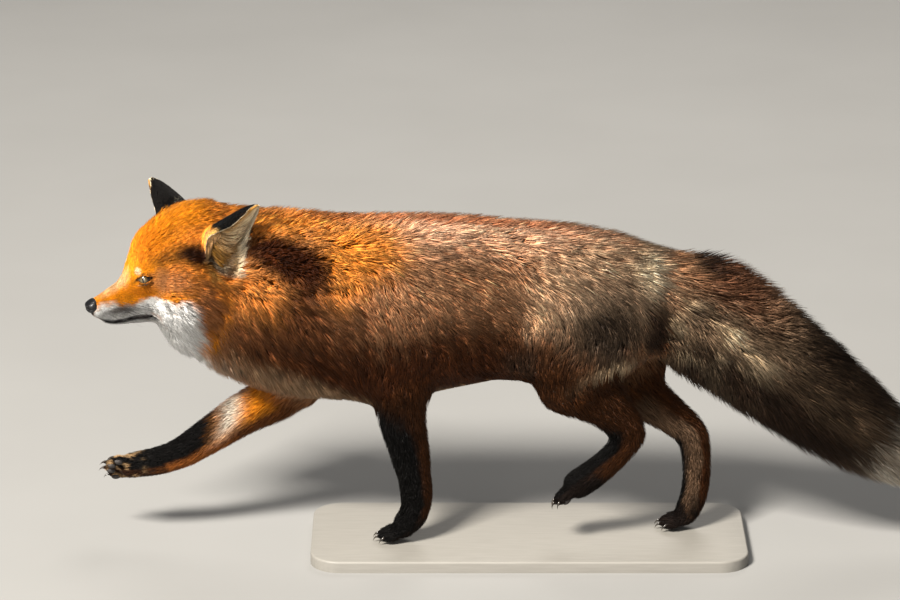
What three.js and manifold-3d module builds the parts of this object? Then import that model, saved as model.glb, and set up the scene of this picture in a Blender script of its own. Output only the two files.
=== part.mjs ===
// A red fox (Vulpes vulpes) in its winter coat, life size, trotting on a plain base.
// Millimetres, +Z up. The nose points to -X and the animal's left side to -Y; z = 0 is the underside
// of the base. Every solid is drawn out to the tips of the coat.

import * as THREE from "three";
import { mergeVertices } from "three/addons/utils/BufferGeometryUtils.js";
import Module from "manifold-3d";

const wasm = await Module();
wasm.setup();

// ---------- Driving dimensions ----------

// The clear gap left between solids that touch, and the size of sliver that a cut surface is tidied of.
const GAP = 0.4;
const TIDY = 0.3;

// The display base: a flat slab with rounded corners.
const BASE = { length: 520, width: 200, height: 14, corner: 36 };

// Along the spine, from inside the head to the rump: centre, half-depth and half-width.
const SPINE = [
  { at: [-392, -2, 340], deep: 80, wide: 38 },
  { at: [-372, 0, 336], deep: 98, wide: 47 },
  { at: [-348, 2, 324], deep: 110, wide: 55 },
  { at: [-322, 4, 314], deep: 116, wide: 62 },
  { at: [-271, 4, 301], deep: 119, wide: 72 },
  { at: [-218, 2, 298], deep: 117, wide: 76 },
  { at: [-171, 0, 300], deep: 117, wide: 76 },
  { at: [-118, 0, 305], deep: 112, wide: 75 },
  { at: [-59, 0, 310], deep: 104, wide: 72 },
  { at: [-12, 0, 314], deep: 95, wide: 68 },
  { at: [47, 0, 316], deep: 87, wide: 66 },
  { at: [106, 0, 311], deep: 80, wide: 62 },
  { at: [153, 0, 309], deep: 63, wide: 54 },
];
// Where the neck ends and the trunk begins, as a share of the spine's stations.
const NECK_SHARE = 3.4 / 12;

// Shoulders and haunches that swell out of the trunk.
const SHOULDERS = [
  { at: [-176, -38, 268], half: [50, 38, 78] },
  { at: [-222, 34, 258], half: [52, 38, 74] },
];
const HAUNCHES = [
  { at: [82, -32, 282], half: [66, 40, 74] },
  { at: [2, -38, 240], half: [36, 22, 27] },
  { at: [88, 32, 268], half: [62, 38, 72] },
];

// How softly the shoulders and haunches melt into the trunk.
const BODY_FILLET = 26;

// Legs from inside the trunk to the wrist or hock, and feet from there to the ball of the toes: centre,
// half-depth along the stride, half-width. The toes point along "forward".
const LEGS = {
  foreleg_left: {
    leg: [
      { at: [-160, -36, 290], deep: 44, wide: 26 },
      { at: [-149, -38, 232], deep: 40, wide: 27 },
      { at: [-152, -36, 177], deep: 32, wide: 23 },
      { at: [-145, -33, 141], deep: 28, wide: 20 },
      { at: [-137, -30, 100], deep: 23, wide: 17.5 },
    ],
    foot: [
      { at: [-136, -29, 92], deep: 22.5, wide: 17 },
      { at: [-134, -28, 70], deep: 21.5, wide: 17 },
      { at: [-136, -28, 50], deep: 19, wide: 17.5 },
      { at: [-148, -28, 34], deep: 16, wide: 19 },
    ],
    toes: { at: [-158, -28, 26], forward: [-1, 0, -0.12], roll: 0, spread: 1, curl: 0.12 },
    planted: true,
  },
  foreleg_right: {
    leg: [
      { at: [-232, 34, 262], deep: 46, wide: 26 },
      { at: [-289, 34, 182], deep: 35, wide: 25 },
      { at: [-338, 31, 156], deep: 29, wide: 22 },
      { at: [-376, 29, 131], deep: 25, wide: 19 },
      { at: [-414, 27, 106], deep: 21, wide: 17 },
    ],
    foot: [
      { at: [-414, 27, 106], deep: 21, wide: 17 },
      { at: [-440, 26, 96], deep: 18.5, wide: 17 },
      { at: [-462, 26, 92], deep: 17, wide: 17 },
      { at: [-478, 26, 89], deep: 16, wide: 16 },
    ],
    toes: { at: [-486, 26, 88], forward: [-0.95, 0, 0.2], roll: 48, spread: 1.25, curl: 0.2 },
    planted: false,
  },
  hindleg_left: {
    leg: [
      { at: [96, -30, 306], deep: 60, wide: 30 },
      { at: [62, -38, 258], deep: 78, wide: 34 },
      { at: [54, -42, 226], deep: 59, wide: 31 },
      { at: [88, -38, 190], deep: 34, wide: 24 },
      { at: [121, -34, 154], deep: 22, wide: 17 },
    ],
    foot: [
      { at: [121, -34, 150], deep: 21, wide: 17 },
      { at: [103, -32, 125], deep: 19.5, wide: 14.5 },
      { at: [81, -31, 103], deep: 19.5, wide: 14.5 },
      { at: [56, -30, 85], deep: 19, wide: 16 },
    ],
    toes: { at: [48, -30, 78], forward: [-0.86, 0, -0.5], roll: 0, spread: 0.9, curl: 0.2 },
    planted: false,
  },
  hindleg_right: {
    leg: [
      { at: [92, 32, 296], deep: 56, wide: 30 },
      { at: [106, 40, 238], deep: 68, wide: 32 },
      { at: [116, 40, 193], deep: 47, wide: 27 },
      { at: [160, 34, 159], deep: 28, wide: 21 },
      { at: [196, 27, 132], deep: 22, wide: 17 },
    ],
    foot: [
      { at: [198, 26, 128], deep: 22, wide: 17 },
      { at: [202, 21, 94], deep: 20, wide: 14.5 },
      { at: [200, 17, 58], deep: 18, wide: 15 },
      { at: [191, 15, 35], deep: 16, wide: 17 },
    ],
    toes: { at: [180, 14, 26], forward: [-1, 0, -0.12], roll: 0, spread: 1, curl: 0.12 },
    planted: true,
  },
};

// A toe: half-length, half-width, half-height; a claw: length and root radius.
const TOE = { long: 13, wide: 6.4, high: 7.6 };
const CLAW = { length: 10, radius: 2 };

// The brush: centre, half-depth and half-width.
const TAIL = [
  { at: [150, 0, 329], deep: 46, wide: 36 },
  { at: [192, 0, 298], deep: 79, wide: 52 },
  { at: [232, 2, 271], deep: 84, wide: 58 },
  { at: [283, 3, 232], deep: 77, wide: 60 },
  { at: [331, 3, 194], deep: 71, wide: 58 },
  { at: [370, 2, 163], deep: 64, wide: 54 },
  { at: [408, 1, 136], deep: 56, wide: 48 },
  { at: [452, 0, 106], deep: 40, wide: 37 },
  { at: [484, 0, 82], deep: 25, wide: 24 },
  { at: [506, 0, 67], deep: 11, wide: 11 },
];
// Where the pale tip begins, in stations.
const TAIL_SPLIT = 6;

// The head has its own frame: x forward along the skull, y to the animal's left, z up, and its origin
// between the eyes.
const HEAD = { at: [-465, -26, 350], yaw: 20, pitch: 10 };

// The muzzle from between the cheeks to the lip: centre, half-depth and half-width.
const MUZZLE = [
  { at: [-30, 0, -28], deep: 33, wide: 34 },
  { at: [-4, 0, -29], deep: 27, wide: 26 },
  { at: [16, 0, -29.5], deep: 22.5, wide: 19 },
  { at: [33, 0, -31.5], deep: 19.5, wide: 16 },
  { at: [48, 0, -31.5], deep: 14, wide: 13 },
];
// The lower jaw from its hinge to the chin.
const JAW = [
  { at: [-34, 0, -56], deep: 14, wide: 24 },
  { at: [-8, 0, -54], deep: 11.5, wide: 18 },
  { at: [14, 0, -51], deep: 9.5, wide: 14 },
  { at: [32, 0, -50], deep: 7.5, wide: 11.5 },
  { at: [43, 0, -48], deep: 6, wide: 8.5 },
];
// The rounded masses of the head, each an ellipsoid.
const HEAD_MASSES = {
  cranium: { at: [-60, 0, 10], half: [50, 50, 52] },
  brow: { at: [-25, 0, 16], half: [24, 29, 30] },
  stop: { at: [-13, 0, -9], half: [22, 20, 15] },
  occiput: { at: [-94, 0, 6], half: [42, 54, 62] },
  throat: { at: [-60, 0, -74], half: [42, 46, 56] },
};
// Masses on each side, given for the left: the orbit behind the eye and the cheek's ruff.
const ORBIT = { at: [-18, 18, -3], half: [24, 15, 17] };
const CHEEK = { at: [-60, 36, -40], half: [46, 32, 50] };
// How softly those masses, and then the muzzle, melt into each other.
const SKULL_FILLET = 16;
const MUZZLE_FILLET = 14;
// The path that the head's rings follow, from the nape to the upper lip.
const HEAD_AXIS = [
  [-112, 0, -4],
  [-84, 0, -16],
  [-56, 0, -26],
  [-28, 0, -30],
  [-4, 0, -31],
  [16, 0, -31],
  [33, 0, -32.5],
  [48, 0, -33.5],
];

const EYE = { at: [-6.5, 24.8, -3], radius: 9.5 };
const NOSE = { at: [57, 0, -27], half: [8, 10, 8.5], nostril: 2.6 };

// An ear: base centre, direction to the tip, direction the hollow faces and half-width at the root, and
// how far its root turns outwards in degrees and slants along the head.
const EARS = {
  ear_left: {
    at: [-88, 56, 7],
    up: [-0.68, 0.25, 0.69],
    open: [-0.38, 0.77, -0.51],
    width: 38,
    turn: 25,
    slant: 0.55,
  },
  ear_right: {
    at: [-78, -42, 9],
    up: [0.3, -0.1, 0.95],
    open: [0.4, -0.75, -0.1],
    width: 32,
    turn: 0,
    slant: 0,
  },
};
// Sizes shared by both ears. Their roots narrow and reach down inside the head, the turn of the root has
// faded out at "turned", and the neck keeps "clear" of them.
const EAR = {
  height: 86,
  depth: 35,
  wall: 3.5,
  taper: 0.6,
  from: -0.2,
  fullest: 0.2,
  waist: 0.8,
  turned: 0.6,
  rings: 10,
  clear: 1.2,
};

// Colours of the plain CAD view.
const COLOURS = {
  rust: 0xb5622a,
  dark: 0x2b2220,
  cream: 0xe2d6c4,
  amber: 0xa8791f,
  slab: 0xcfc8bd,
};

// ---------- Shapes as distance fields ----------

const SIDE = new THREE.Vector3(0, 1, 0);

/** Near enough the distance to an ellipse or ellipsoid; offsets and half-sizes pair up. */
function ellipseDistance(offsets, halves) {
  let level = 0;
  let slope = 0;
  offsets.forEach((offset, i) => {
    level += (offset / halves[i]) ** 2;
    slope += (offset / halves[i] ** 2) ** 2;
  });
  if (slope < 1e-12) return -Math.min(...halves);
  const scale = Math.sqrt(level);
  return (scale * (scale - 1)) / Math.sqrt(slope);
}

/** A solid ellipsoid with its half-sizes along X, Y and Z. */
class Egg {
  constructor({ at, half }) {
    this.at = at;
    this.half = half;
  }

  distance(p) {
    return ellipseDistance([p.x - this.at[0], p.y - this.at[1], p.z - this.at[2]], this.half);
  }
}

/** Elliptical sections strung along a smooth curve. */
class Chain {
  constructor(stations, samples = 72) {
    const centres = stations.map(({ at }) => new THREE.Vector3(...at));
    const sizes = stations.map(({ deep, wide }) => new THREE.Vector3(deep, wide, 0));
    this.path = new THREE.CatmullRomCurve3(centres, false, "centripetal");
    this.sizes = new THREE.CatmullRomCurve3(sizes, false, "catmullrom", 0.5);
    this.frames = Array.from({ length: samples + 1 }, (_, i) => this.frame(i / samples));
  }

  /** The point, axes and half-sizes at a share t of the curve. */
  frame(t) {
    const tangent = this.path.getTangent(t);
    const side = SIDE.clone().addScaledVector(tangent, -SIDE.dot(tangent)).normalize();
    const size = this.sizes.getPoint(t);
    return {
      at: this.path.getPoint(t),
      tangent,
      side,
      up: new THREE.Vector3().crossVectors(tangent, side),
      deep: size.x,
      wide: size.y,
    };
  }

  distance(p) {
    let near = this.frames[0];
    let best = Infinity;
    for (const frame of this.frames) {
      const d = frame.at.distanceToSquared(p);
      if (d < best) {
        best = d;
        near = frame;
      }
    }
    const offset = p.clone().sub(near.at);
    const along = near === this.frames[0] || near === this.frames.at(-1) ? offset.dot(near.tangent) : 0;
    const end = Math.min(near.deep, near.wide);
    return ellipseDistance([along, offset.dot(near.side), offset.dot(near.up)], [end, near.wide, near.deep]);
  }
}

/** Several shapes melted together over a fillet of the given size. */
class Blend {
  constructor(fillet, ...shapes) {
    this.fillet = fillet;
    this.shapes = shapes;
  }

  distance(p) {
    return this.shapes.reduce((sum, shape) => {
      const d = shape.distance(p);
      if (sum === Infinity) return d;
      const h = Math.max(this.fillet - Math.abs(sum - d), 0);
      return Math.min(sum, d) - (h * h) / (4 * this.fillet);
    }, Infinity);
  }
}

/** How far from a point inside the shape its surface lies, in the given direction. */
function reach(shape, from, direction, grow) {
  const p = new THREE.Vector3();
  const outside = (r) => shape.distance(p.copy(from).addScaledVector(direction, r)) > grow;
  let far = 2;
  while (!outside(far) && far < 400) far += 3;
  let near = Math.max(far - 3, 0);
  for (let i = 0; i < 12; i++) {
    const middle = (near + far) / 2;
    if (outside(middle)) far = middle;
    else near = middle;
  }
  return near;
}

/**
 * A closed skin of rings around a path, its points cast outwards onto a shape.
 * "frames" are the ring planes; a round end closes in with a dome, a flat one with a disc.
 */
function cast(shape, frames, { sectors, grow = 0, start = "round", end = "round", dome }) {
  const rings = [];
  const tilts = Array.from({ length: dome }, (_, i) => ((i + 1) / (dome + 1)) * (Math.PI / 2));
  if (start === "round") tilts.toReversed().forEach((tilt) => rings.push({ frame: frames[0], tilt: -tilt }));
  frames.forEach((frame) => rings.push({ frame, tilt: 0 }));
  if (end === "round") tilts.forEach((tilt) => rings.push({ frame: frames.at(-1), tilt }));

  const points = [];
  for (const { frame, tilt } of rings) {
    for (let s = 0; s < sectors; s++) {
      const angle = (s / sectors) * 2 * Math.PI;
      const direction = new THREE.Vector3()
        .addScaledVector(frame.side, Math.cos(angle) * Math.cos(tilt))
        .addScaledVector(frame.up, Math.sin(angle) * Math.cos(tilt))
        .addScaledVector(frame.tangent, Math.sin(tilt));
      points.push(frame.at.clone().addScaledVector(direction, reach(shape, frame.at, direction, grow)));
    }
  }
  const poles = [
    [start, frames[0], -1],
    [end, frames.at(-1), 1],
  ];
  for (const [kind, frame, sign] of poles) {
    const direction = frame.tangent.clone().multiplyScalar(sign);
    const length = kind === "round" ? reach(shape, frame.at, direction, grow) : 0;
    points.push(frame.at.clone().addScaledVector(direction, length));
  }
  return solid(points, ringFaces(rings.length, sectors));
}

/** Faces between rings of points, each ring a closed loop. */
function wallFaces(rings, sectors) {
  const faces = [];
  for (let s = 0; s < sectors; s++) {
    const next = (s + 1) % sectors;
    for (let r = 0; r + 1 < rings; r++) {
      const a = r * sectors + s;
      const b = r * sectors + next;
      faces.push([a, b, b + sectors], [a, b + sectors, a + sectors]);
    }
  }
  return faces;
}

/** Faces of a ring-and-sector skin whose two poles are its last two points. */
function ringFaces(rings, sectors) {
  const faces = wallFaces(rings, sectors);
  const poles = rings * sectors;
  const top = poles - sectors;
  for (let s = 0; s < sectors; s++) {
    const next = (s + 1) % sectors;
    faces.push([poles, next, s], [poles + 1, top + s, top + next]);
  }
  return faces;
}

/** Faces of a bent sheet whose rings run out along its outside and back along its inside. */
function ribbonFaces(rings, sectors) {
  const faces = wallFaces(rings, sectors);
  const top = (rings - 1) * sectors;
  for (let s = 0; s < sectors / 2 - 1; s++) {
    const back = sectors - 1 - s;
    faces.push([s + 1, s, back], [s + 1, back, back - 1]);
    faces.push([top + s, top + s + 1, top + back], [top + s + 1, top + back - 1, top + back]);
  }
  return faces;
}

/** A manifold solid from points and triangles. */
function solid(points, faces) {
  const mesh = new wasm.Mesh({
    numProp: 3,
    vertProperties: Float32Array.from(points.flatMap((p) => p.toArray())),
    triVerts: Uint32Array.from(faces.flat()),
  });
  return new wasm.Manifold(mesh);
}

/** A manifold solid from a three.js geometry, placed by a matrix. */
function solidOf(geometry, matrix = new THREE.Matrix4()) {
  const plain = new THREE.BufferGeometry();
  plain.setAttribute("position", geometry.getAttribute("position").clone());
  if (geometry.index) plain.setIndex(geometry.index);
  const merged = mergeVertices(plain.applyMatrix4(matrix), 1e-4);
  return new wasm.Manifold(
    new wasm.Mesh({
      numProp: 3,
      vertProperties: new Float32Array(merged.attributes.position.array),
      triVerts: new Uint32Array(merged.index.array),
    }),
  );
}

/** The largest single body of a solid. */
function largest(made) {
  return made.decompose().reduce((a, b) => (b.volume() > a.volume() ? b : a));
}

/** One body less its neighbours, tidied of slivers. */
function carve(body, ...neighbours) {
  return largest(neighbours.reduce((rest, other) => rest.subtract(other), body)).simplify(TIDY);
}

/** The ring planes of a chain between two shares of its length. */
function framesBetween(chain, from, to, count) {
  return Array.from({ length: count }, (_, i) => chain.frame(from + ((to - from) * i) / (count - 1)));
}

/** A frame moved along its own axis. */
function shifted(frame, distance) {
  return { ...frame, at: frame.at.clone().addScaledVector(frame.tangent, distance) };
}

// ---------- The body ----------

const spine = new Chain(SPINE, 120);
const eggs = (list) => list.map((egg) => new Egg(egg));
const bodyShape = new Blend(BODY_FILLET, spine, ...eggs(SHOULDERS), ...eggs(HAUNCHES));

/** The trunk from the base of the neck to the rump. */
function makeTrunk(grow) {
  const frames = framesBetween(spine, NECK_SHARE, 0.985, 17);
  frames[0] = shifted(frames[0], GAP);
  return cast(bodyShape, frames, { sectors: 20, grow, start: "flat", dome: 3 });
}

/** The neck, its front end buried in the head. */
function makeNeck(grow) {
  const frames = framesBetween(spine, 0.02, NECK_SHARE, 6);
  return cast(bodyShape, frames, { sectors: 20, grow, end: "flat", dome: 1 });
}

const tailChain = new Chain(TAIL, 90);
const tailSplit = TAIL_SPLIT / (TAIL.length - 1);

/** The brush with a flat cut where its tip begins. */
function makeTail(grow) {
  const frames = framesBetween(tailChain, 0.02, tailSplit, 9);
  return cast(tailChain, frames, { sectors: 14, grow, end: "flat", dome: 1 });
}

/** The pale end of the brush. */
function makeTailTip() {
  const frames = framesBetween(tailChain, tailSplit, 0.985, 6);
  frames[0] = shifted(frames[0], GAP);
  return cast(tailChain, frames, { sectors: 14, start: "flat", dome: 2 });
}

// ---------- The legs ----------

/** The axes of a set of toes, rolled about their forward direction. */
function toeFrame({ at, forward, roll }) {
  const tangent = new THREE.Vector3(...forward).normalize();
  const side = SIDE.clone().applyAxisAngle(tangent, THREE.MathUtils.degToRad(roll));
  return { at: new THREE.Vector3(...at), tangent, side, up: new THREE.Vector3().crossVectors(side, tangent) };
}

/** The leg down to the wrist or hock. */
function makeLeg({ leg }, grow) {
  const chain = new Chain(leg, 60);
  return cast(chain, framesBetween(chain, 0, 1, 10), { sectors: 12, grow, dome: 1 });
}

/** The foot from the wrist or hock to the ball of the toes. */
function makeFoot({ foot }, grow) {
  const chain = new Chain(foot, 60);
  return cast(chain, framesBetween(chain, 0, 1, 5), { sectors: 10, grow, dome: 2 });
}

/** An egg along a direction, as a solid of few faces. */
function eggSolid({ at, tangent, up }, [long, wide, high], segments = 6) {
  const axes = new THREE.Matrix4().makeBasis(tangent, new THREE.Vector3().crossVectors(up, tangent), up);
  const placed = new THREE.Matrix4().makeTranslation(at).multiply(axes);
  placed.multiply(new THREE.Matrix4().makeScale(long, wide, high));
  return solidOf(new THREE.SphereGeometry(1, segments, Math.max(segments - 2, 5)), placed);
}

/** A claw: a small curved-down cone whose tip leads. */
function clawSolid(at, direction) {
  const cone = new THREE.ConeGeometry(CLAW.radius, CLAW.length, 4).translate(0, CLAW.length / 2, 0);
  const turn = new THREE.Quaternion().setFromUnitVectors(SIDE, direction.clone().normalize());
  return solidOf(cone, new THREE.Matrix4().compose(at, turn, new THREE.Vector3(1, 1, 1)));
}

/** The paw from the wrist or hock down: the foot, four toes with their claws, and a flat sole if planted. */
function makePaw(limb) {
  const { toes, planted } = limb;
  const foot = toeFrame(toes);
  const pieces = [makeFoot(limb, 0)];
  pieces.push(eggSolid(shifted(foot, -6), [17, 18 * toes.spread, 10.5], 7));
  for (const lane of [-1.5, -0.5, 0.5, 1.5]) {
    const outer = Math.abs(lane) > 1;
    const turn = lane * 0.13 * toes.spread;
    const tangent = foot.tangent.clone().addScaledVector(foot.side, turn);
    tangent.addScaledVector(foot.up, -toes.curl).normalize();
    const at = foot.at.clone().addScaledVector(foot.side, lane * 10 * toes.spread);
    at.addScaledVector(foot.tangent, outer ? 6 : 13).addScaledVector(foot.up, -1.5);
    const up = foot.up.clone().addScaledVector(tangent, -foot.up.dot(tangent)).normalize();
    pieces.push(eggSolid({ at, tangent, up }, [TOE.long, TOE.wide, TOE.high]));
    const root = at.clone().addScaledVector(tangent, TOE.long - 3).addScaledVector(up, 1);
    pieces.push(clawSolid(root, tangent.clone().addScaledVector(up, -0.35)));
  }
  const joined = pieces.reduce((sum, piece) => sum.add(piece)).simplify(TIDY);
  return planted ? joined.trimByPlane([0, 0, 1], BASE.height + GAP) : joined;
}

// ---------- The head ----------

const headFrame = (() => {
  const yaw = THREE.MathUtils.degToRad(HEAD.yaw);
  const pitch = THREE.MathUtils.degToRad(HEAD.pitch);
  const level = Math.cos(pitch);
  const forward = new THREE.Vector3(-Math.cos(yaw) * level, -Math.sin(yaw) * level, -Math.sin(pitch));
  const left = new THREE.Vector3(Math.sin(yaw), -Math.cos(yaw), 0);
  const up = new THREE.Vector3().crossVectors(forward, left);
  return new THREE.Matrix4().makeBasis(forward, left, up).setPosition(...HEAD.at);
})();

const muzzleChain = new Chain(MUZZLE, 48);
const jawChain = new Chain(JAW, 48);
const mirrored = ({ at: [x, y, z], half }) => ({ at: [x, -y, z], half });
const bothSides = [CHEEK, ORBIT].flatMap((egg) => [egg, mirrored(egg)]);
const skull = new Blend(SKULL_FILLET, ...eggs([...Object.values(HEAD_MASSES), ...bothSides]));
const skullShape = new Blend(MUZZLE_FILLET, skull, muzzleChain);

/** The head above the mouth, in its own frame. */
function makeHead(grow) {
  const path = new Chain(HEAD_AXIS.map((at) => ({ at, deep: 10, wide: 10 })));
  return cast(skullShape, framesBetween(path, 0, 1, 16), { sectors: 24, grow, dome: 3 });
}

/** The lower jaw, whose upper face follows the mouth line. */
function makeJaw(grow) {
  return cast(jawChain, framesBetween(jawChain, 0.02, 0.97, 6), { sectors: 14, grow, dome: 2 });
}

/** An eyeball. */
function makeEye(sign, grow) {
  const [x, y, z] = EYE.at;
  const radius = EYE.radius + grow;
  const ball = new THREE.SphereGeometry(radius, 10, 8);
  return solidOf(ball, new THREE.Matrix4().makeTranslation(x, sign * y, z));
}

/** The nose pad with its two nostrils. */
function makeNose(grow, open) {
  const at = new THREE.Vector3(...NOSE.at);
  const half = NOSE.half.map((size) => size + grow);
  const frame = { at, tangent: new THREE.Vector3(1, 0, 0), up: new THREE.Vector3(0, 0, 1) };
  let pad = eggSolid(frame, half, 10);
  if (!open) return pad;
  for (const sign of [-1, 1]) {
    const aside = new THREE.Vector3(NOSE.half[0] * 0.86, sign * NOSE.half[1] * 0.48, -0.5);
    const hole = { ...frame, at: at.clone().add(aside) };
    pad = pad.subtract(eggSolid(hole, [3.4, NOSE.nostril, NOSE.nostril * 0.8], 7));
  }
  return pad;
}

/** The middle of an ear at a share of its height, the way to its front edge and the way its hollow faces. */
function earFrame({ at, up, open, turn, slant }, share) {
  const rise = new THREE.Vector3(...up).normalize();
  const face = new THREE.Vector3(...open);
  face.addScaledVector(rise, -face.dot(rise)).normalize();
  const fade = Math.min(Math.max(1 - share / EAR.turned, 0), 1);
  face.applyAxisAngle(rise, -THREE.MathUtils.degToRad(turn * fade));
  const across = new THREE.Vector3().crossVectors(face, rise).addScaledVector(rise, slant * fade);
  const middle = new THREE.Vector3(...at).addScaledVector(rise, share * EAR.height);
  return { middle, across, face, rise };
}

/** An ear's half-width and half-depth at a share of its height: fullest above its root. */
function earHalf(ear, share) {
  const root = Math.max(EAR.fullest - share, 0) / (EAR.fullest - EAR.from);
  const swell = (1 - Math.max(share, 0)) ** EAR.taper * (1 - EAR.waist * root ** 2);
  return [ear.width * swell, EAR.depth * swell];
}

/** The points of an ear's rings, each given by section(wide, deep) as [across, face] offsets. */
function earRings(ear, to, section) {
  return Array.from({ length: EAR.rings }, (_, r) => {
    const share = EAR.from + ((to - EAR.from) * r) / (EAR.rings - 1);
    const { middle, across, face } = earFrame(ear, share);
    const offsets = section(...earHalf(ear, share));
    return offsets.map(([a, d]) => middle.clone().addScaledVector(across, a).addScaledVector(face, d));
  }).flat();
}

/** The space that an ear takes up, its hollow filled. */
function earPlug(ear) {
  const sectors = 14;
  const points = earRings(ear, 0.995, (wide, deep) =>
    Array.from({ length: sectors }, (_, s) => {
      const angle = (s / sectors) * 2 * Math.PI;
      return [Math.cos(angle) * (wide + EAR.clear), Math.sin(angle) * (deep + EAR.clear)];
    }),
  );
  points.push(earFrame(ear, EAR.from - 0.005).middle, earFrame(ear, 1.01).middle);
  return solid(points, ringFaces(EAR.rings, sectors));
}

/** An ear: a cupped shell, open along its front. */
function makeEar(ear) {
  const steps = 9;
  const points = earRings(ear, 0.985, (wide, deep) => {
    const wall = Math.min(EAR.wall, 0.45 * wide, 0.45 * deep);
    const arc = (inset) =>
      Array.from({ length: steps }, (_, s) => {
        const angle = Math.PI * (1 + s / (steps - 1));
        return [Math.cos(angle) * (wide - inset), Math.sin(angle) * (deep - inset)];
      });
    return [...arc(0), ...arc(wall).reverse()];
  });
  return solid(points, ribbonFaces(EAR.rings, 2 * steps));
}

// ---------- The base ----------

/** The display base: a rounded slab with a small chamfer around its top. */
function makeBase() {
  const outline = new THREE.Shape();
  const [x, y, r] = [BASE.length / 2, BASE.width / 2, BASE.corner];
  outline.moveTo(x - r, -y);
  outline.absarc(x - r, -y + r, r, -Math.PI / 2, 0);
  outline.absarc(x - r, y - r, r, 0, Math.PI / 2);
  outline.absarc(-x + r, y - r, r, Math.PI / 2, Math.PI);
  outline.absarc(-x + r, -y + r, r, Math.PI, 1.5 * Math.PI);
  outline.closePath();
  const extrusion = { depth: BASE.height, bevelEnabled: false, curveSegments: 8 };
  return solidOf(new THREE.ExtrudeGeometry(outline, extrusion));
}

// ---------- Assembly ----------

const materials = Object.fromEntries(
  Object.entries(COLOURS).map(([name, color]) => [
    name,
    new THREE.MeshStandardMaterial({ color, roughness: 0.7, flatShading: true }),
  ]),
);

/** A named mesh from a manifold solid. */
function node(name, made, material) {
  const mesh = made.getMesh();
  const geometry = new THREE.BufferGeometry();
  geometry.setAttribute("position", new THREE.BufferAttribute(new Float32Array(mesh.vertProperties), 3));
  geometry.setIndex(new THREE.BufferAttribute(new Uint32Array(mesh.triVerts), 1));
  const built = new THREE.Mesh(geometry, materials[material]);
  built.name = name;
  return built;
}

/** A solid moved from the head's frame to the animal's. */
function fromHead(made) {
  return made.transform(headFrame.elements);
}

const fox = new THREE.Group();
fox.name = "red_fox";

const trunk = makeTrunk(0);
const head = makeHead(0);
const headPlug = makeHead(GAP);
const trunkPlug = makeTrunk(GAP);
const eyePlugs = [makeEye(1, GAP), makeEye(-1, GAP)];
const nosePlug = makeNose(GAP, false);
const earPlugs = Object.values(EARS).map(earPlug);

fox.add(node("trunk", trunk, "rust"));
fox.add(node("head", fromHead(carve(head, ...eyePlugs, nosePlug)), "rust"));
fox.add(node("lower_jaw", fromHead(carve(makeJaw(0), headPlug, nosePlug)), "cream"));
fox.add(node("nose", fromHead(makeNose(0, true)), "dark"));
fox.add(node("eye_left", fromHead(makeEye(1, 0)), "amber"));
fox.add(node("eye_right", fromHead(makeEye(-1, 0)), "amber"));
for (const [name, ear] of Object.entries(EARS)) {
  fox.add(node(name, fromHead(carve(makeEar(ear), headPlug)), "dark"));
}
fox.add(node("neck", carve(makeNeck(0), ...[headPlug, makeJaw(GAP), ...earPlugs].map(fromHead)), "rust"));

for (const [name, limb] of Object.entries(LEGS)) {
  fox.add(node(name, carve(makeLeg(limb, 0), trunkPlug, makeFoot(limb, GAP)), "rust"));
  fox.add(node(name.replace("leg", "paw"), makePaw(limb), "dark"));
}
fox.add(node("tail", carve(makeTail(0), trunkPlug, makeLeg(LEGS.hindleg_right, GAP)), "rust"));
fox.add(node("tail_tip", makeTailTip(), "cream"));
fox.add(node("stand_base", makeBase(), "slab"));

export default fox;
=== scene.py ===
"""A life-size red fox in its winter coat, trotting on a plain display base.

The hide is one skin that lies inside the solids by the depth of the coat. The coat is made of thin closed
tufts, each rooted in the skin, that follow the lie of the fur and end at the outline of the solids.
Metres, +Z up; the fox faces -X and its left side is towards -Y.
"""

import logging
from collections.abc import Callable
from dataclasses import dataclass, field
from enum import Enum
from math import cos, pi, radians, sin

import bmesh
import bpy
import numpy as np
from mathutils import Matrix, Vector
from mathutils.bvhtree import BVHTree
from mathutils.kdtree import KDTree


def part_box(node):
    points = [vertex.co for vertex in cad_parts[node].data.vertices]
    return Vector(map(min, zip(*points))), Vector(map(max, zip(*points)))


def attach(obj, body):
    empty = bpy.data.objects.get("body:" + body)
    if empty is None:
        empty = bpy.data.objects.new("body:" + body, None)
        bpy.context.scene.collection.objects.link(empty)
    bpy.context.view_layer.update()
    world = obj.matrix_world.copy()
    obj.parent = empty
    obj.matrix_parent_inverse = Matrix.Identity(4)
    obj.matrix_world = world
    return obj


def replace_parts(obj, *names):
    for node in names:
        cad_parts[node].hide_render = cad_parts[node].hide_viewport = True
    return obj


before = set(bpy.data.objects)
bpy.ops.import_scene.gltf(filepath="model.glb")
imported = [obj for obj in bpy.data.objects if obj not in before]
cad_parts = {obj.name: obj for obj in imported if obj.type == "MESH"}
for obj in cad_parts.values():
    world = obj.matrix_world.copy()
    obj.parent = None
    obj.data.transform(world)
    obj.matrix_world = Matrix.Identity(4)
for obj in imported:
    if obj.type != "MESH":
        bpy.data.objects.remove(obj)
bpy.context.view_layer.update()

Array = np.ndarray
Triple = tuple[float, float, float]
Piece = bpy.types.Object
Material = bpy.types.Material
Chance = np.random.Generator

LOG = logging.getLogger("red_fox")
BODY = "root"
MAP_NAME = "OFBake"
COLOURS_NAME = "coat"
MM = 0.001


# ---------- Small tools ----------


def unit(vectors: Array) -> Array:
    """Return the vectors, in the last axis, scaled to length one."""
    return vectors / np.maximum(np.linalg.norm(vectors, axis=-1, keepdims=True), 1e-12)


def lengths_of(vectors: Array) -> Array:
    """Return the length of each row."""
    return np.linalg.norm(vectors, axis=1)


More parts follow.
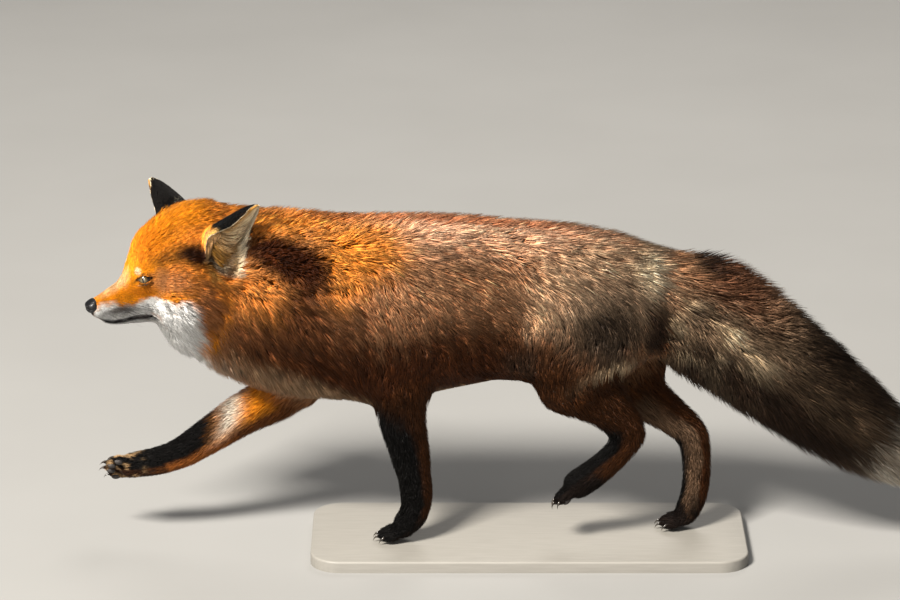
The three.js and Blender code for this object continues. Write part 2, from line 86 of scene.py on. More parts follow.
def ease(low: float, high: float, value: Array) -> Array:
    """Return 0 below low, 1 above high and an eased ramp between.

    Args:
        low: Where the ramp starts.
        high: Where it ends.
        value: The values to ease.

    Returns:
        The eased values.
    """
    share = np.clip((value - low) / (high - low), 0.0, 1.0)
    return share * share * (3.0 - 2.0 * share)


def fade(low: float, high: float, value: Array) -> Array:
    """Return 1 below low, 0 above high and an eased ramp between."""
    return 1.0 - ease(low, high, value)


def linear(srgb: Array) -> Array:
    """Return linear colours from display colours of 0 to 255."""
    share = np.asarray(srgb, float) / 255.0
    return np.where(share <= 0.04045, share / 12.92, ((share + 0.055) / 1.055) ** 2.4)


def ripple(points: Array, wavelength: float, seed: int) -> Array:
    """Return a smooth random field, about -1 to 1, sampled at points.

    Args:
        points: Places, one to a row.
        wavelength: The size of its bumps in metres.
        seed: Which field.

    Returns:
        One value for each place.
    """
    rng = np.random.default_rng(seed)
    total = np.zeros(len(points))
    for _ in range(7):
        wave = unit(rng.normal(size=3)) * (2.0 * pi / wavelength) * rng.uniform(0.6, 1.5)
        total += np.sin(points @ wave + rng.uniform(0.0, 2.0 * pi))
    return total / 2.6


def select_only(*pieces: Piece) -> None:
    """Select these objects alone and make the first the active one."""
    bpy.ops.object.select_all(action="DESELECT")
    for piece in pieces:
        piece.select_set(True)
    bpy.context.view_layer.objects.active = pieces[0]


def apply_modifiers(piece: Piece) -> None:
    """Apply every modifier of a piece, in order."""
    select_only(piece)
    for name in [modifier.name for modifier in piece.modifiers]:
        bpy.ops.object.modifier_apply(modifier=name)


def added(operator: Callable[..., set], **settings: object) -> Piece:
    """Add a primitive with nothing else selected, and return it."""
    bpy.ops.object.select_all(action="DESELECT")
    operator(**settings)
    return bpy.context.object


def fetched(items: bpy.types.bpy_prop_collection, attribute: str, width: int, kind: type = float) -> Array:
    """Read one attribute of all vertices, edges or loops.

    Args:
        items: Where it is read.
        attribute: Its name.
        width: How many numbers each item has.
        kind: Their type.

    Returns:
        One row for each item.
    """
    flat = np.empty(len(items) * width, kind)
    items.foreach_get(attribute, flat)
    return flat.reshape(-1, width)


def places_of(piece: Piece) -> Array:
    """Return a mesh's vertices as an array."""
    return fetched(piece.data.vertices, "co", 3)


def set_places(piece: Piece, places: Array) -> None:
    """Move a mesh's vertices to the rows of an array."""
    piece.data.vertices.foreach_set("co", places.ravel())
    piece.data.update()


def finished(piece: Piece, name: str, material: Material) -> Piece:
    """Settle a piece: its place in its mesh, its finish and the body it rides on.

    Args:
        piece: The object.
        name: Its final name.
        material: Its finish.

    Returns:
        The same object.
    """
    select_only(piece)
    bpy.ops.object.transform_apply(location=True, rotation=True, scale=True)
    piece.name = name
    piece.data.name = name
    piece.data.materials.clear()
    piece.data.materials.append(material)
    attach(piece, BODY)
    LOG.info("%s: %d faces", name, len(piece.data.polygons))
    return piece


def linked(mesh: bpy.types.Mesh) -> Piece:
    """Put a mesh into the scene as an object of its own name."""
    piece = bpy.data.objects.new(mesh.name, mesh)
    bpy.context.scene.collection.objects.link(piece)
    return piece


def joined(pieces: list[Piece]) -> Piece:
    """Join several objects into the first and return it."""
    select_only(*pieces)
    if len(pieces) > 1:
        bpy.ops.object.join()
    return pieces[0]


# ---------- Guides: where the body's parts run ----------


class Zone(Enum):
    """The parts of the hide, by the CAD nodes that they come from."""

    TRUNK = ("trunk",)
    NECK = ("neck",)
    HEAD = ("head", "lower_jaw", "nose", "eye_left", "eye_right")
    EAR_LEFT = ("ear_left",)
    EAR_RIGHT = ("ear_right",)
    FORE_LEFT = ("foreleg_left", "forepaw_left")
    FORE_RIGHT = ("foreleg_right", "forepaw_right")
    HIND_LEFT = ("hindleg_left", "hindpaw_left")
    HIND_RIGHT = ("hindleg_right", "hindpaw_right")
    TAIL = ("tail", "tail_tip")

    @property
    def number(self) -> int:
        """Return the zone's place in the list of zones."""
        return list(Zone).index(self)


def within(zones: Array, *wanted: Zone) -> Array:
    """Return which numbers belong to the wanted zones."""
    return np.isin(zones, [zone.number for zone in wanted])


def sided(place: Triple, side: float) -> Array:
    """Return a place or direction of the left side, mirrored where side is -1."""
    return np.array(place) * (1.0, side, 1.0)


FLESH = [node for zone in Zone for node in zone.value]
SOFT_ZONES = (Zone.TRUNK, Zone.NECK, Zone.TAIL)
SKIN_NODES = [node for node in FLESH if not node.startswith("eye") and node != "nose"]


@dataclass(frozen=True)
class HeadFrame:
    """The head's own frame: forward along the skull, to the animal's left, and up."""

    at: Triple = (-0.465, -0.026, 0.350)
    yaw: float = 20.0
    pitch: float = 10.0

    @property
    def axes(self) -> Array:
        """Return forward, left and up as rows."""
        yaw, pitch = radians(self.yaw), radians(self.pitch)
        forward = np.array([-cos(yaw) * cos(pitch), -sin(yaw) * cos(pitch), -sin(pitch)])
        left = np.array([sin(yaw), -cos(yaw), 0.0])
        return np.array([forward, left, np.cross(forward, left)])

    def place(self, local: Array) -> Array:
        """Return world places in metres from head places in millimetres."""
        return np.asarray(local, float) * MM @ self.axes + np.array(self.at)

    def turn(self, local: Array) -> Array:
        """Return world directions from head directions."""
        return np.asarray(local, float) @ self.axes

    def local(self, world: Array) -> Array:
        """Return head places in millimetres from world places in metres."""
        return (np.asarray(world, float) - np.array(self.at)) @ self.axes.T / MM


HEAD = HeadFrame()


@dataclass(frozen=True)
class Line:
    """A guide line through a limb or the tail, in millimetres."""

    points: tuple[Triple, ...]

    def project(self, world: Array) -> tuple[Array, Array, Array]:
        """Find where places lie along the line.

        Args:
            world: Places in metres.

        Returns:
            The share of the line's length, the line's direction there and the offset from it in metres.
        """
        knots = np.array(self.points) * MM
        steps = np.diff(knots, axis=0)
        lengths = lengths_of(steps)
        before = np.concatenate([[0.0], np.cumsum(lengths)])
        best = np.full(len(world), np.inf)
        share = np.zeros(len(world))
        offset = np.zeros_like(world)
        for i, step in enumerate(steps):
            along = np.clip(((world - knots[i]) @ step) / lengths[i] ** 2, 0.0, 1.0)
            away = world - knots[i] - along[:, None] * step
            distance = lengths_of(away)
            near = distance < best
            best[near] = distance[near]
            share[near] = (before[i] + along[near] * lengths[i]) / before[-1]
            offset[near] = away[near]
        middles = (before[:-1] + before[1:]) / 2 / before[-1]
        tangent = [np.interp(share, middles, steps[:, k] / lengths) for k in range(3)]
        return share, unit(np.stack(tangent, axis=1)), offset


TAIL_LINE = Line((
    (150, 0, 329), (192, 0, 298), (285, 3, 235), (372, 2, 166), (452, 0, 106), (506, 0, 67),
))
LIMBS = {
    Zone.FORE_LEFT: Line((
        (-160, -36, 290), (-149, -38, 232), (-145, -33, 141), (-136, -29, 92),
        (-134, -28, 60), (-148, -28, 34), (-182, -28, 22),
    )),
    Zone.FORE_RIGHT: Line((
        (-232, 34, 262), (-289, 34, 182), (-376, 29, 131), (-414, 27, 106),
        (-450, 26, 94), (-478, 26, 89), (-512, 26, 92),
    )),
    Zone.HIND_LEFT: Line((
        (96, -30, 306), (62, -38, 258), (54, -42, 226), (88, -38, 190),
        (121, -34, 152), (103, -32, 125), (62, -30, 90), (32, -30, 68),
    )),
    Zone.HIND_RIGHT: Line((
        (92, 32, 296), (106, 40, 238), (116, 40, 193), (160, 34, 159),
        (198, 26, 130), (202, 21, 94), (191, 15, 36), (155, 14, 22),
    )),
}


# ---------- The comb: lie, depth and length of the coat ----------


@dataclass(frozen=True)
class Stroke:
    """One stroke of the comb: a place, the way the fur lies, the coat's depth and the tufts' length.

    They are in millimetres, in the head's frame for the head and in the world's elsewhere.
    """

    at: Triple
    lie: Triple
    depth: float
    length: float


def slope(down: float) -> Triple:
    """Return the direction towards the tail that falls by an angle in degrees."""
    return (cos(radians(down)), 0.0, -sin(radians(down)))


# The left side of the body; the right side is its mirror image.
BODY_STROKES = (
    Stroke((-385, 0, 425), slope(10), 20, 36),
    Stroke((-307, 0, 432), slope(12), 24, 42),
    Stroke((-212, 0, 418), slope(0), 20, 38),
    Stroke((-100, 0, 418), slope(2), 17, 34),
    Stroke((0, 0, 412), slope(6), 17, 34),
    Stroke((100, 0, 392), slope(18), 18, 36),
    Stroke((180, 0, 365), slope(38), 20, 40),
    Stroke((-340, -52, 360), slope(45), 26, 42),
    Stroke((-319, -62, 320), slope(80), 28, 44),
    Stroke((-330, -50, 270), slope(86), 30, 46),
    Stroke((-271, -50, 392), slope(48), 24, 42),
    Stroke((-255, -72, 320), slope(76), 26, 44),
    Stroke((-265, -66, 255), slope(80), 26, 44),
    Stroke((-212, -45, 398), slope(24), 22, 40),
    Stroke((-205, -74, 342), slope(64), 24, 44),
    Stroke((-205, -76, 270), slope(72), 22, 42),
    Stroke((-130, -40, 404), slope(16), 20, 38),
    Stroke((-130, -70, 362), slope(46), 24, 44),
    Stroke((-130, -75, 304), slope(60), 25, 46),
    Stroke((-130, -66, 240), slope(66), 24, 44),
    Stroke((-59, -38, 400), slope(14), 19, 38),
    Stroke((-59, -66, 360), slope(40), 22, 42),
    Stroke((-59, -70, 304), slope(56), 24, 44),
    Stroke((-59, -60, 242), slope(68), 22, 42),
    Stroke((35, -34, 390), slope(24), 18, 36),
    Stroke((35, -62, 350), slope(48), 20, 38),
    Stroke((24, -64, 300), slope(62), 20, 38),
    Stroke((4, -54, 245), slope(80), 18, 36),
    Stroke((130, -34, 372), slope(42), 20, 40),
    Stroke((118, -58, 320), slope(60), 20, 38),
    Stroke((150, -50, 290), slope(74), 20, 38),
    Stroke((80, -66, 250), slope(30), 16, 30),
    Stroke((-300, 0, 200), slope(40), 24, 42),
    Stroke((-200, 0, 180), slope(8), 18, 36),
    Stroke((-80, 0, 200), slope(6), 18, 36),
    Stroke((20, 0, 220), slope(10), 16, 32),
)

# The left side of the head; the right side is its mirror image.
HEAD_STROKES = (
    Stroke((58, 4, -18), (-1, 0, 0.5), 1.2, 3.0),
    Stroke((44, 0, -8), (-1, 0, 0.4), 1.6, 4.0),
    Stroke((22, 6, -2), (-1, 0.1, 0.35), 2.4, 6.0),
    Stroke((8, 8, 12), (-1, 0.15, 0.9), 3.5, 8.0),
    Stroke((0, 12, 34), (-1, 0.2, 1.1), 7, 14),
    Stroke((-26, 12, 57), (-1, 0.1, 0.35), 11, 20),
    Stroke((-60, 12, 68), (-1, 0.0, 0.05), 13, 26),
    Stroke((-100, 12, 66), (-1, 0.0, -0.2), 15, 30),
    Stroke((40, 13, -30), (-1, 0.25, 0.0), 1.6, 4.0),
    Stroke((46, 12, -42), (-1, 0.2, -0.3), 1.6, 4.0),
    Stroke((20, 17, -25), (-1, 0.4, -0.05), 2.0, 5.0),
    Stroke((14, 17, -42), (-1, 0.3, -0.35), 2.2, 5.5),
    Stroke((10, 20, -14), (-1, 0.6, 0.1), 2.2, 5.0),
    Stroke((4, 20, 4), (-1, 0.6, 0.6), 2.2, 5.0),
    Stroke((-8, 30, 12), (-1, 0.5, 0.8), 3.0, 7.0),
    Stroke((-24, 32, 30), (-1, 0.4, 0.5), 8, 14),
    Stroke((-22, 34, 2), (-1, 0.6, 0.0), 4.0, 9.0),
    Stroke((-10, 28, -18), (-1, 0.7, -0.35), 3.0, 8.0),
    Stroke((-46, 44, 20), (-1, 0.4, 0.2), 9, 17),
    Stroke((-60, 40, 50), (-1, 0.2, 0.2), 11, 20),
    Stroke((-44, 48, -12), (-1, 0.7, -0.35), 10, 20),
    Stroke((-14, 32, -42), (-1, 0.8, -0.7), 6, 14),
    Stroke((-36, 54, -50), (-1, 0.6, -1.1), 15, 27),
    Stroke((-66, 66, -30), (-1, 0.5, -0.9), 18, 30),
    Stroke((-90, 66, -10), (-1, 0.2, -0.8), 18, 32),
    Stroke((-96, 54, 36), (-1, 0.1, -0.3), 13, 24),
    Stroke((-50, 52, -92), (-1, 0.2, -1.6), 20, 34),
    Stroke((-84, 60, -80), (-1, 0.1, -1.2), 22, 36),
    Stroke((40, 5, -56), (-1, 0.1, -0.2), 2.0, 5.0),
    Stroke((14, 8, -60), (-1, 0.1, -0.25), 2.6, 7.0),
    Stroke((-10, 12, -66), (-1, 0.2, -0.6), 5.0, 12),
    Stroke((-22, 18, -92), (-0.8, 0.1, -1.2), 14, 26),
    Stroke((-50, 14, -122), (-1, 0.1, -1.2), 20, 34),
)


def mirrored(strokes: tuple[Stroke, ...]) -> list[Stroke]:
    """Mirror strokes.

    Args:
        strokes: The left side's.

    Returns:
        Them and their mirror images.
    """
    both = list(strokes)
    for stroke in strokes:
        if stroke.at[1] != 0:
            at, lie = (tuple(sided(way, -1)) for way in (stroke.at, stroke.lie))
            both.append(Stroke(at, lie, stroke.depth, stroke.length))
    return both


@dataclass(frozen=True)
class Brushed:
    """The lie, depth and length of the coat at many places, in metres."""

    lie: Array
    depth: Array
    length: Array


def brush(places: Array, strokes: list[Stroke]) -> Brushed:
    """Blend strokes by nearness.

    Args:
        places: Where to know the coat, in the strokes' own frame.
        strokes: The strokes.

    Returns:
        The coat at each place, with the lie still in the strokes' frame.
    """
    least_gap, falloff = 2.0, 2.2
    at = np.array([stroke.at for stroke in strokes])
    lie = unit(np.array([stroke.lie for stroke in strokes]))
    sizes = np.array([[stroke.depth, stroke.length] for stroke in strokes]) * MM
    gap_squared = ((places[:, None, :] - at[None]) ** 2).sum(axis=2)
    weight = 1.0 / (gap_squared + least_gap**2) ** falloff
    weight /= weight.sum(axis=1, keepdims=True)
    blended = weight @ sizes
    return Brushed(unit(weight @ lie), blended[:, 0], blended[:, 1])


@dataclass(frozen=True)
class Sleeve:
    """Depth and length of the coat along a limb or the tail, in millimetres, at even shares."""

    depth: tuple[float, ...]
    length: tuple[float, ...]

    def at(self, share: Array) -> tuple[Array, Array]:
        """Return depth and length in metres at shares of the way."""
        depth = np.interp(share, np.linspace(0, 1, len(self.depth)), self.depth)
        length = np.interp(share, np.linspace(0, 1, len(self.length)), self.length)
        return depth * MM, length * MM


FORE_SLEEVE = Sleeve((14, 10, 6, 4.5, 3.5, 3, 2.5), (32, 24, 15, 12, 10, 8, 7))
HIND_SLEEVE = Sleeve((18, 14, 9, 5.5, 4.5, 3.5, 2.5), (36, 30, 20, 14, 12, 9, 7))
TAIL_SLEEVE = Sleeve((24, 40, 42, 40, 34, 16), (44, 52, 56, 56, 52, 40))
SLEEVES = {
    Zone.FORE_LEFT: FORE_SLEEVE,
    Zone.FORE_RIGHT: FORE_SLEEVE,
    Zone.HIND_LEFT: HIND_SLEEVE,
    Zone.HIND_RIGHT: HIND_SLEEVE,
}


@dataclass(frozen=True)
class EarGuide:
    """An ear in the head's frame: a bent sheet on a turned and slanted root."""

    at: Triple
    up: Triple
    open: Triple
    width: float
    front: int
    turn: float = 0.0
    slant: float = 0.0
    height: float = 86.0
    deep: float = 35.0
    turned: float = 0.6

    @property
    def rise(self) -> Array:
        """Return the way from the base to the tip."""
        return unit(np.array(self.up))

    def twist(self, share: Array) -> Array:
        """Return how much of the root's turn is left at shares of the height."""
        return np.clip(1.0 - share / self.turned, 0.0, 1.0)

    def axes(self, share: Array) -> tuple[Array, Array]:
        """Find the ear's own ways.

        Args:
            share: Shares of the ear's height.

        Returns:
            The ways across the ear and out of its hollow there.
        """
        face = np.array(self.open)
        face = unit(face - self.rise * (face @ self.rise))
        side = np.cross(face, self.rise)
        turn = np.radians(self.turn) * self.twist(share)
        across = np.outer(np.cos(turn), side) - np.outer(np.sin(turn), face)
        return across, np.outer(np.cos(turn), face) + np.outer(np.sin(turn), side)

    def swell(self, share: Array) -> Array:
        """Return the ear's half-width at shares of the height, as a share of its full half-width."""
        root = np.clip(0.2 - share, 0.0, 0.4) / 0.4
        return (1.0 - np.clip(share, 0.0, 0.99)) ** 0.6 * (1.0 - 0.8 * root * root)

    def own(self, head: Array) -> tuple[Array, Array, Array]:
        """Measure places in the ear.

        Args:
            head: Places in the head's frame.

        Returns:
            The share of the height, the share of the half-width towards the front edge, and the
            millimetres out.
        """
        away = head - np.array(self.at)
        rose = away @ self.rise / self.height
        share = rose
        for _ in range(4):
            side, out = self.axes(share)
            across = (away * side).sum(axis=1)
            share = rose - across * self.slant * self.twist(share) / self.height
        return share, across * self.front / (self.width * self.swell(share)), (away * out).sum(axis=1)

    def spot(self, share: Array, across: Array, facing: Array) -> Array:
        """Turn the measures that own returns into places.

        Args:
            share: Shares of the ear's height.
            across: Shares of its half width.
            facing: Distances out of its hollow, in millimetres.

        Returns:
            Head places.
        """
        side, out = self.axes(share)
        aside = (across * self.width * self.swell(share) * self.front)[:, None]
        leant = side + self.rise * (self.slant * self.twist(share))[:, None]
        spine = np.array(self.at) + np.outer(share * self.height, self.rise)
        return spine + leant * aside + out * facing[:, None]

    def hollow(self, head: Array) -> Array:
        """Find the ear's cup.

        Args:
            head: Head places.

        Returns:
            1 in the cup and 0 on the ear's back.
        """
        share, across, facing = self.own(head)
        deep = np.maximum(self.deep * self.swell(share) - 1.6, 1.0)
        level = np.hypot(across * 1.04, np.minimum(facing, 0.0) / deep)
        inside = fade(0.97, 1.01, level) * fade(5.0, 9.0, facing)
        return inside * ease(-0.12, -0.04, share)


EARS = {
    Zone.EAR_LEFT: EarGuide(
        (-88, 56, 7), (-0.68, 0.25, 0.69), (-0.38, 0.77, -0.51), 38.0, 1, turn=25.0, slant=0.55
    ),
    Zone.EAR_RIGHT: EarGuide((-78, -42, 9), (0.3, -0.1, 0.95), (0.4, -0.75, -0.1), 32.0, -1),
}
EAR_DEPTH, EAR_LENGTH = 1.3 * MM, 7.0 * MM
# How much of the combed depth lies on trunk and neck.
BODY_DEPTH = 0.72


# ---------- The hide ----------


@dataclass(frozen=True)
class EyeGuide:
    """The left eyeball and the opening between its lids, in the head's frame and millimetres."""

    at: Triple = (-6.5, 24.8, -3.0)
    radius: float = 9.2
    facing: Triple = (0.44, 0.87, 0.16)
    corner: Triple = (0.89, -0.44, 0.02)
    half_length: float = 7.6
    half_height: float = 4.0
    lid: float = 1.2
    sink: float = 3.0
    reach: float = 15.0

    def axes(self, side: int) -> Array:
        """Find the eye's own axes.

        Args:
            side: 1 for the left eye and -1 for the right.

        Returns:
            The ways along the opening to its inner corner, up across it, and out, as rows.
        """
        out = unit(sided(self.facing, side))
        along = sided(self.corner, side)
        along = unit(along - out * (along @ out))
        up = np.cross(out, along) * side
        return np.array([along, up if up[2] > 0 else -up, out])

    def measure(self, head: Array, side: int) -> tuple[Array, Array, Array]:
        """Measure places against the opening.

        Args:
            head: Places in the head's frame, in millimetres.
            side: 1 for the left eye and -1 for the right.

        Returns:
            How far out each is as a share of the opening, which is 1 on its edge, its distance from the
            ball's centre, and its distance from the eye's axis.
        """
        own = (head - sided(self.at, side)) @ self.axes(side).T
        distance = lengths_of(own)
        tall = np.where(own[:, 1] > 0, self.half_height, self.half_height * 0.8)
        # The opening narrows to a point at the inner corner.
        pinch = np.where(own[:, 0] > 0, 1.0 + 0.055 * np.maximum(own[:, 0], 0.0) ** 1.3 / 2.0, 1.0)
        share = np.sqrt((own[:, 0] / self.half_length) ** 2 + (own[:, 1] * pinch / tall) ** 2)
        share = np.where(own[:, 2] > 0, share, 9.0)
        return share, distance, np.hypot(own[:, 0], own[:, 1])


EYE = EyeGuide()

# The line of the closed lips on the left, from below the nose to the corner of the mouth.
MOUTH = np.array([
    (58, 0, -40), (54, 4.5, -44), (46, 8, -48), (36, 10, -50.5),
    (21, 12.5, -51.5), (9, 14.8, -50.5), (-3, 17, -53), (-10, 17, -58),
])


def mouth_gap(head: Array) -> Array:
    """Measure how far places are from the line of the lips.

    Args:
        head: Head places.

    Returns:
        The distance of each, in millimetres.
    """
    folded = np.stack([head[:, 0], np.abs(head[:, 1]), head[:, 2]], axis=1)
    best = np.full(len(head), np.inf)
    for start, end in zip(MOUTH[:-1], MOUTH[1:]):
        step = end - start
        along = np.clip(((folded - start) @ step) / (step @ step), 0.0, 1.0)
        best = np.minimum(best, lengths_of(folded - start - along[:, None] * step))
    return best


@dataclass(frozen=True)
class Spots:
    """Places on the hide: the triangle of each and its weights at the triangle's corners."""

    index: Array
    weights: Array


@dataclass
class Hide:
    """The skin and the outline of the coat over it: two sets of places for one set of triangles.

    "keep" is the share of triangles left by thinning and "sunk" the most of the body's thickness that the
    skin sinks. Smoothing rounds are counted for each kind of part.
    """

    swell: float = 0.6 * MM
    voxel: float = 2.0 * MM
    keep: float = 0.26
    sunk: float = 0.37
    thickest: float = 0.2
    body_rounds: int = 60
    limb_rounds: int = 24
    head_rounds: int = 14
    ear_rounds: int = 6
    toe_rounds: int = 5
    toes_from: float = 0.78
    outer: Array = field(init=False)
    skin: Array = field(init=False)
    faces: Array = field(init=False)
    zones: Array = field(init=False)
    normals: Array = field(init=False)
    lie: Array = field(init=False)
    length: Array = field(init=False)
    depth: Array = field(init=False)
    corners: Array = field(init=False)
    tree: BVHTree = field(init=False)
    piece: Piece = field(init=False)

    def build(self) -> None:
        """Make the outline, comb it, and sink the skin below it."""
        self.piece = self.merged_solids()
        self.soften()
        self.thin_out()
        self.refine()
        self.read()
        self.comb()
        self.sink()
        self.unwrap()

    def merged_solids(self) -> Piece:
        """Copy the solids of flesh, swell them until they meet and melt them into one surface."""
        select_only(*[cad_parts[name] for name in FLESH])
        bpy.ops.object.duplicate()
        bpy.ops.object.join()
        piece = bpy.context.object
        for key in list(piece.keys()):
            del piece[key]
        piece.parent = None
        bpy.ops.object.mode_set(mode="EDIT")
        bpy.ops.mesh.select_all(action="SELECT")
        bpy.ops.mesh.remove_doubles(threshold=1e-6)
        bpy.ops.transform.shrink_fatten(value=self.swell)
        bpy.ops.object.mode_set(mode="OBJECT")
        melt = piece.modifiers.new("melt", "REMESH")
        melt.mode = "VOXEL"
        melt.voxel_size = self.voxel
        apply_modifiers(piece)
        return piece

    def nearest_zones(self, places: Array) -> Array:
        """Tell places by the solid that is nearest.

        Args:
            places: Places in metres.

        Returns:
            The number of the zone of each.
        """
        corners, faces, owners = [], [], []
        for zone in Zone:
            for name in zone.value:
                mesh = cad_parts[name].data
                start = len(corners)
                corners.extend(vertex.co[:] for vertex in mesh.vertices)
                faces.extend([start + i for i in polygon.vertices] for polygon in mesh.polygons)
                owners.extend([zone.number] * len(mesh.polygons))
        tree = BVHTree.FromPolygons(corners, faces)
        return np.array([owners[tree.find_nearest(place)[2]] for place in places.tolist()])

    def edges(self) -> Array:
        """Return the mesh's edges as pairs of vertices."""
        return fetched(self.piece.data.edges, "vertices", 2, int)

    def soften(self) -> None:
        """Smooth the facets away: most on the body, least on the toes and the ears."""
        places = places_of(self.piece)
        zones = self.nearest_zones(places)
        rounds = np.full(len(places), self.body_rounds)
        rounds[zones == Zone.HEAD.number] = self.head_rounds
        rounds[within(zones, *EARS)] = self.ear_rounds
        for zone, line in LIMBS.items():
            mine = zones == zone.number
            rounds[mine] = self.limb_rounds
            rounds[mine & (line.project(places)[0] > self.toes_from)] = self.toe_rounds
        edges = self.edges()
        for done in range(self.body_rounds):
            places = np.where((rounds > done)[:, None], relaxed(places, edges, 0.5), places)
        set_places(self.piece, places)
        coarse = self.piece.vertex_groups.new(name="coarse")
        limb = within(zones, *LIMBS) & (rounds == self.limb_rounds)
        coarse.add(np.flatnonzero(within(zones, *SOFT_ZONES)).tolist(), 1.0, "REPLACE")
        coarse.add(np.flatnonzero(limb).tolist(), 0.75, "REPLACE")

    def thin_out(self) -> None:
        """Spend fewer triangles where the coat is long."""
        thin = self.piece.modifiers.new("thin", "DECIMATE")
        thin.ratio = self.keep
        thin.vertex_group = "coarse"
        apply_modifiers(self.piece)
        self.piece.vertex_groups.clear()

    def refine(self) -> None:
        """Cut the mesh finer around the eyes and along the lips."""
        select_only(self.piece)
        mesh = self.piece.data
        for test in (self.near_face, self.near_folds):
            bpy.ops.object.mode_set(mode="EDIT")
            bpy.ops.mesh.select_mode(type="VERT")
            bpy.ops.object.mode_set(mode="OBJECT")
            wanted = test(HEAD.local(places_of(self.piece)))
            mesh.vertices.foreach_set("select", wanted)
            mesh.edges.foreach_set("select", wanted[self.edges()].all(axis=1))
            flags = [all(wanted[v] for v in polygon.vertices) for polygon in mesh.polygons]
            mesh.polygons.foreach_set("select", flags)
            bpy.ops.object.mode_set(mode="EDIT")
            bpy.ops.mesh.subdivide(number_cuts=1)
            bpy.ops.mesh.select_all(action="SELECT")
            bpy.ops.mesh.quads_convert_to_tris()
            bpy.ops.object.mode_set(mode="OBJECT")

    @staticmethod
    def near_face(head: Array) -> Array:
        """Return which head places lie near an eye, the nose or the lips."""
        near = (mouth_gap(head) < 7.0) | (head[:, 0] > 48)
        for side in (1, -1):
            near |= lengths_of(head - sided(EYE.at, side)) < 17
        return near

    @staticmethod
    def near_folds(head: Array) -> Array:
        """Find places on the lids and lips.

        Args:
            head: Head places.

        Returns:
            Whether each is.
        """
        near = mouth_gap(head) < 3.5
        for side in (1, -1):
            share, distance, _ = EYE.measure(head, side)
            near |= (distance < 14) & (share < 2.0)
        return near

    def read(self) -> None:
        """Read the mesh into arrays."""
        mesh = self.piece.data
        mesh.calc_loop_triangles()
        self.faces = fetched(mesh.loop_triangles, "vertices", 3, int)
        self.outer = places_of(self.piece)
        self.zones = self.nearest_zones(self.outer)
        self.open_eyes()
        self.raise_brush()
        self.tuck_claws()
        self.normals = self.normals_of(self.outer)
        self.tree = BVHTree.FromPolygons(self.outer.tolist(), self.faces.tolist())

    def raise_brush(self) -> None:
        """Raise the long hair on top of the tail's root."""
        middle, width, rise = 0.215, 0.032, 7.0 * MM
        near = np.exp(-((self.outer[:, 0] - middle) / width) ** 2)
        near = near * ease(0.30, 0.35, self.outer[:, 2])
        self.outer[:, 2] += rise * near * (self.zones == Zone.TAIL.number)

    def tuck_claws(self) -> None:
        """Draw the surface in where it would show around a claw."""
        for toes in TOES:
            for middle, ahead, up in toes.lanes():
                away = self.outer / MM - middle
                along = away @ ahead
                aside = away - np.outer(along, ahead) - up * 1.2
                near = (along > toes.toe + 0.4) & (along < 24.0) & (lengths_of(aside) < 7.5)
                drawn = middle + up * 0.6 + aside * 0.2
                drawn = drawn + np.outer(np.minimum(along, toes.toe + 1.0), ahead)
                self.outer = np.where(near[:, None], drawn * MM, self.outer)

    def open_eyes(self) -> None:
        """Lay the lids over the eyeballs and sink the surface inside the opening behind them."""
        head = HEAD.local(self.outer)
        for side in (1, -1):
            centre = sided(EYE.at, side)
            share, distance, aside = EYE.measure(head, side)
            ray = unit(head - centre)
            lid = EYE.radius + EYE.lid + 0.5 * np.exp(-(((share - 1.12) / 0.12) ** 2))
            level = lid + (EYE.radius - EYE.sink - lid) * fade(0.9, 1.03, share)
            hold = fade(8.5, EYE.reach, aside)
            near = (distance < EYE.reach) & (share < 8.0)
            wanted = np.where(share < 1.2, level, np.maximum(level, distance - 1.0))
            moved = centre + ray * (distance + (wanted - distance) * hold)[:, None]
            head = np.where(near[:, None], moved, head)
        gap = mouth_gap(head)
        inward = -self.normals_of(self.outer) @ HEAD.axes.T
        head = head + inward * (1.6 * np.exp(-((gap / 1.1) ** 2)))[:, None]
        lips = self.zones == Zone.HEAD.number
        self.outer = np.where(lips[:, None], HEAD.place(head), self.outer)

    def normals_of(self, places: Array) -> Array:
        """Find the vertex normals, weighted by face area.

        Args:
            places: The vertices.

        Returns:
            Their normals.
        """
        a, b, c = (places[self.faces[:, k]] for k in range(3))
        across = np.cross(b - a, c - a)
        total = np.zeros_like(places)
        for k in range(3):
            for axis in range(3):
                total[:, axis] += np.bincount(self.faces[:, k], across[:, axis], len(places))
        return unit(total)

    def comb(self) -> None:
        """Set the lie, depth and length of the coat at each vertex."""
        count = len(self.outer)
        self.lie, self.depth, self.length = np.zeros((count, 3)), np.zeros(count), np.zeros(count)
        for zone in Zone:
            mine = np.flatnonzero(self.zones == zone.number)
            brushed = self.brushed(zone, self.outer[mine])
            self.lie[mine] = brushed.lie
            self.depth[mine] = brushed.depth
            self.length[mine] = brushed.length
        edges = self.edges()
        soft = ~within(self.zones, *EARS)
        for _ in range(24):
            self.lie = self.flat(relaxed(self.lie, edges, 0.6))
            sizes = relaxed(np.stack([self.depth, self.length], axis=1), edges, 0.6)
            self.depth = np.where(soft, sizes[:, 0], self.depth)
            self.length = np.where(soft, sizes[:, 1], self.length)

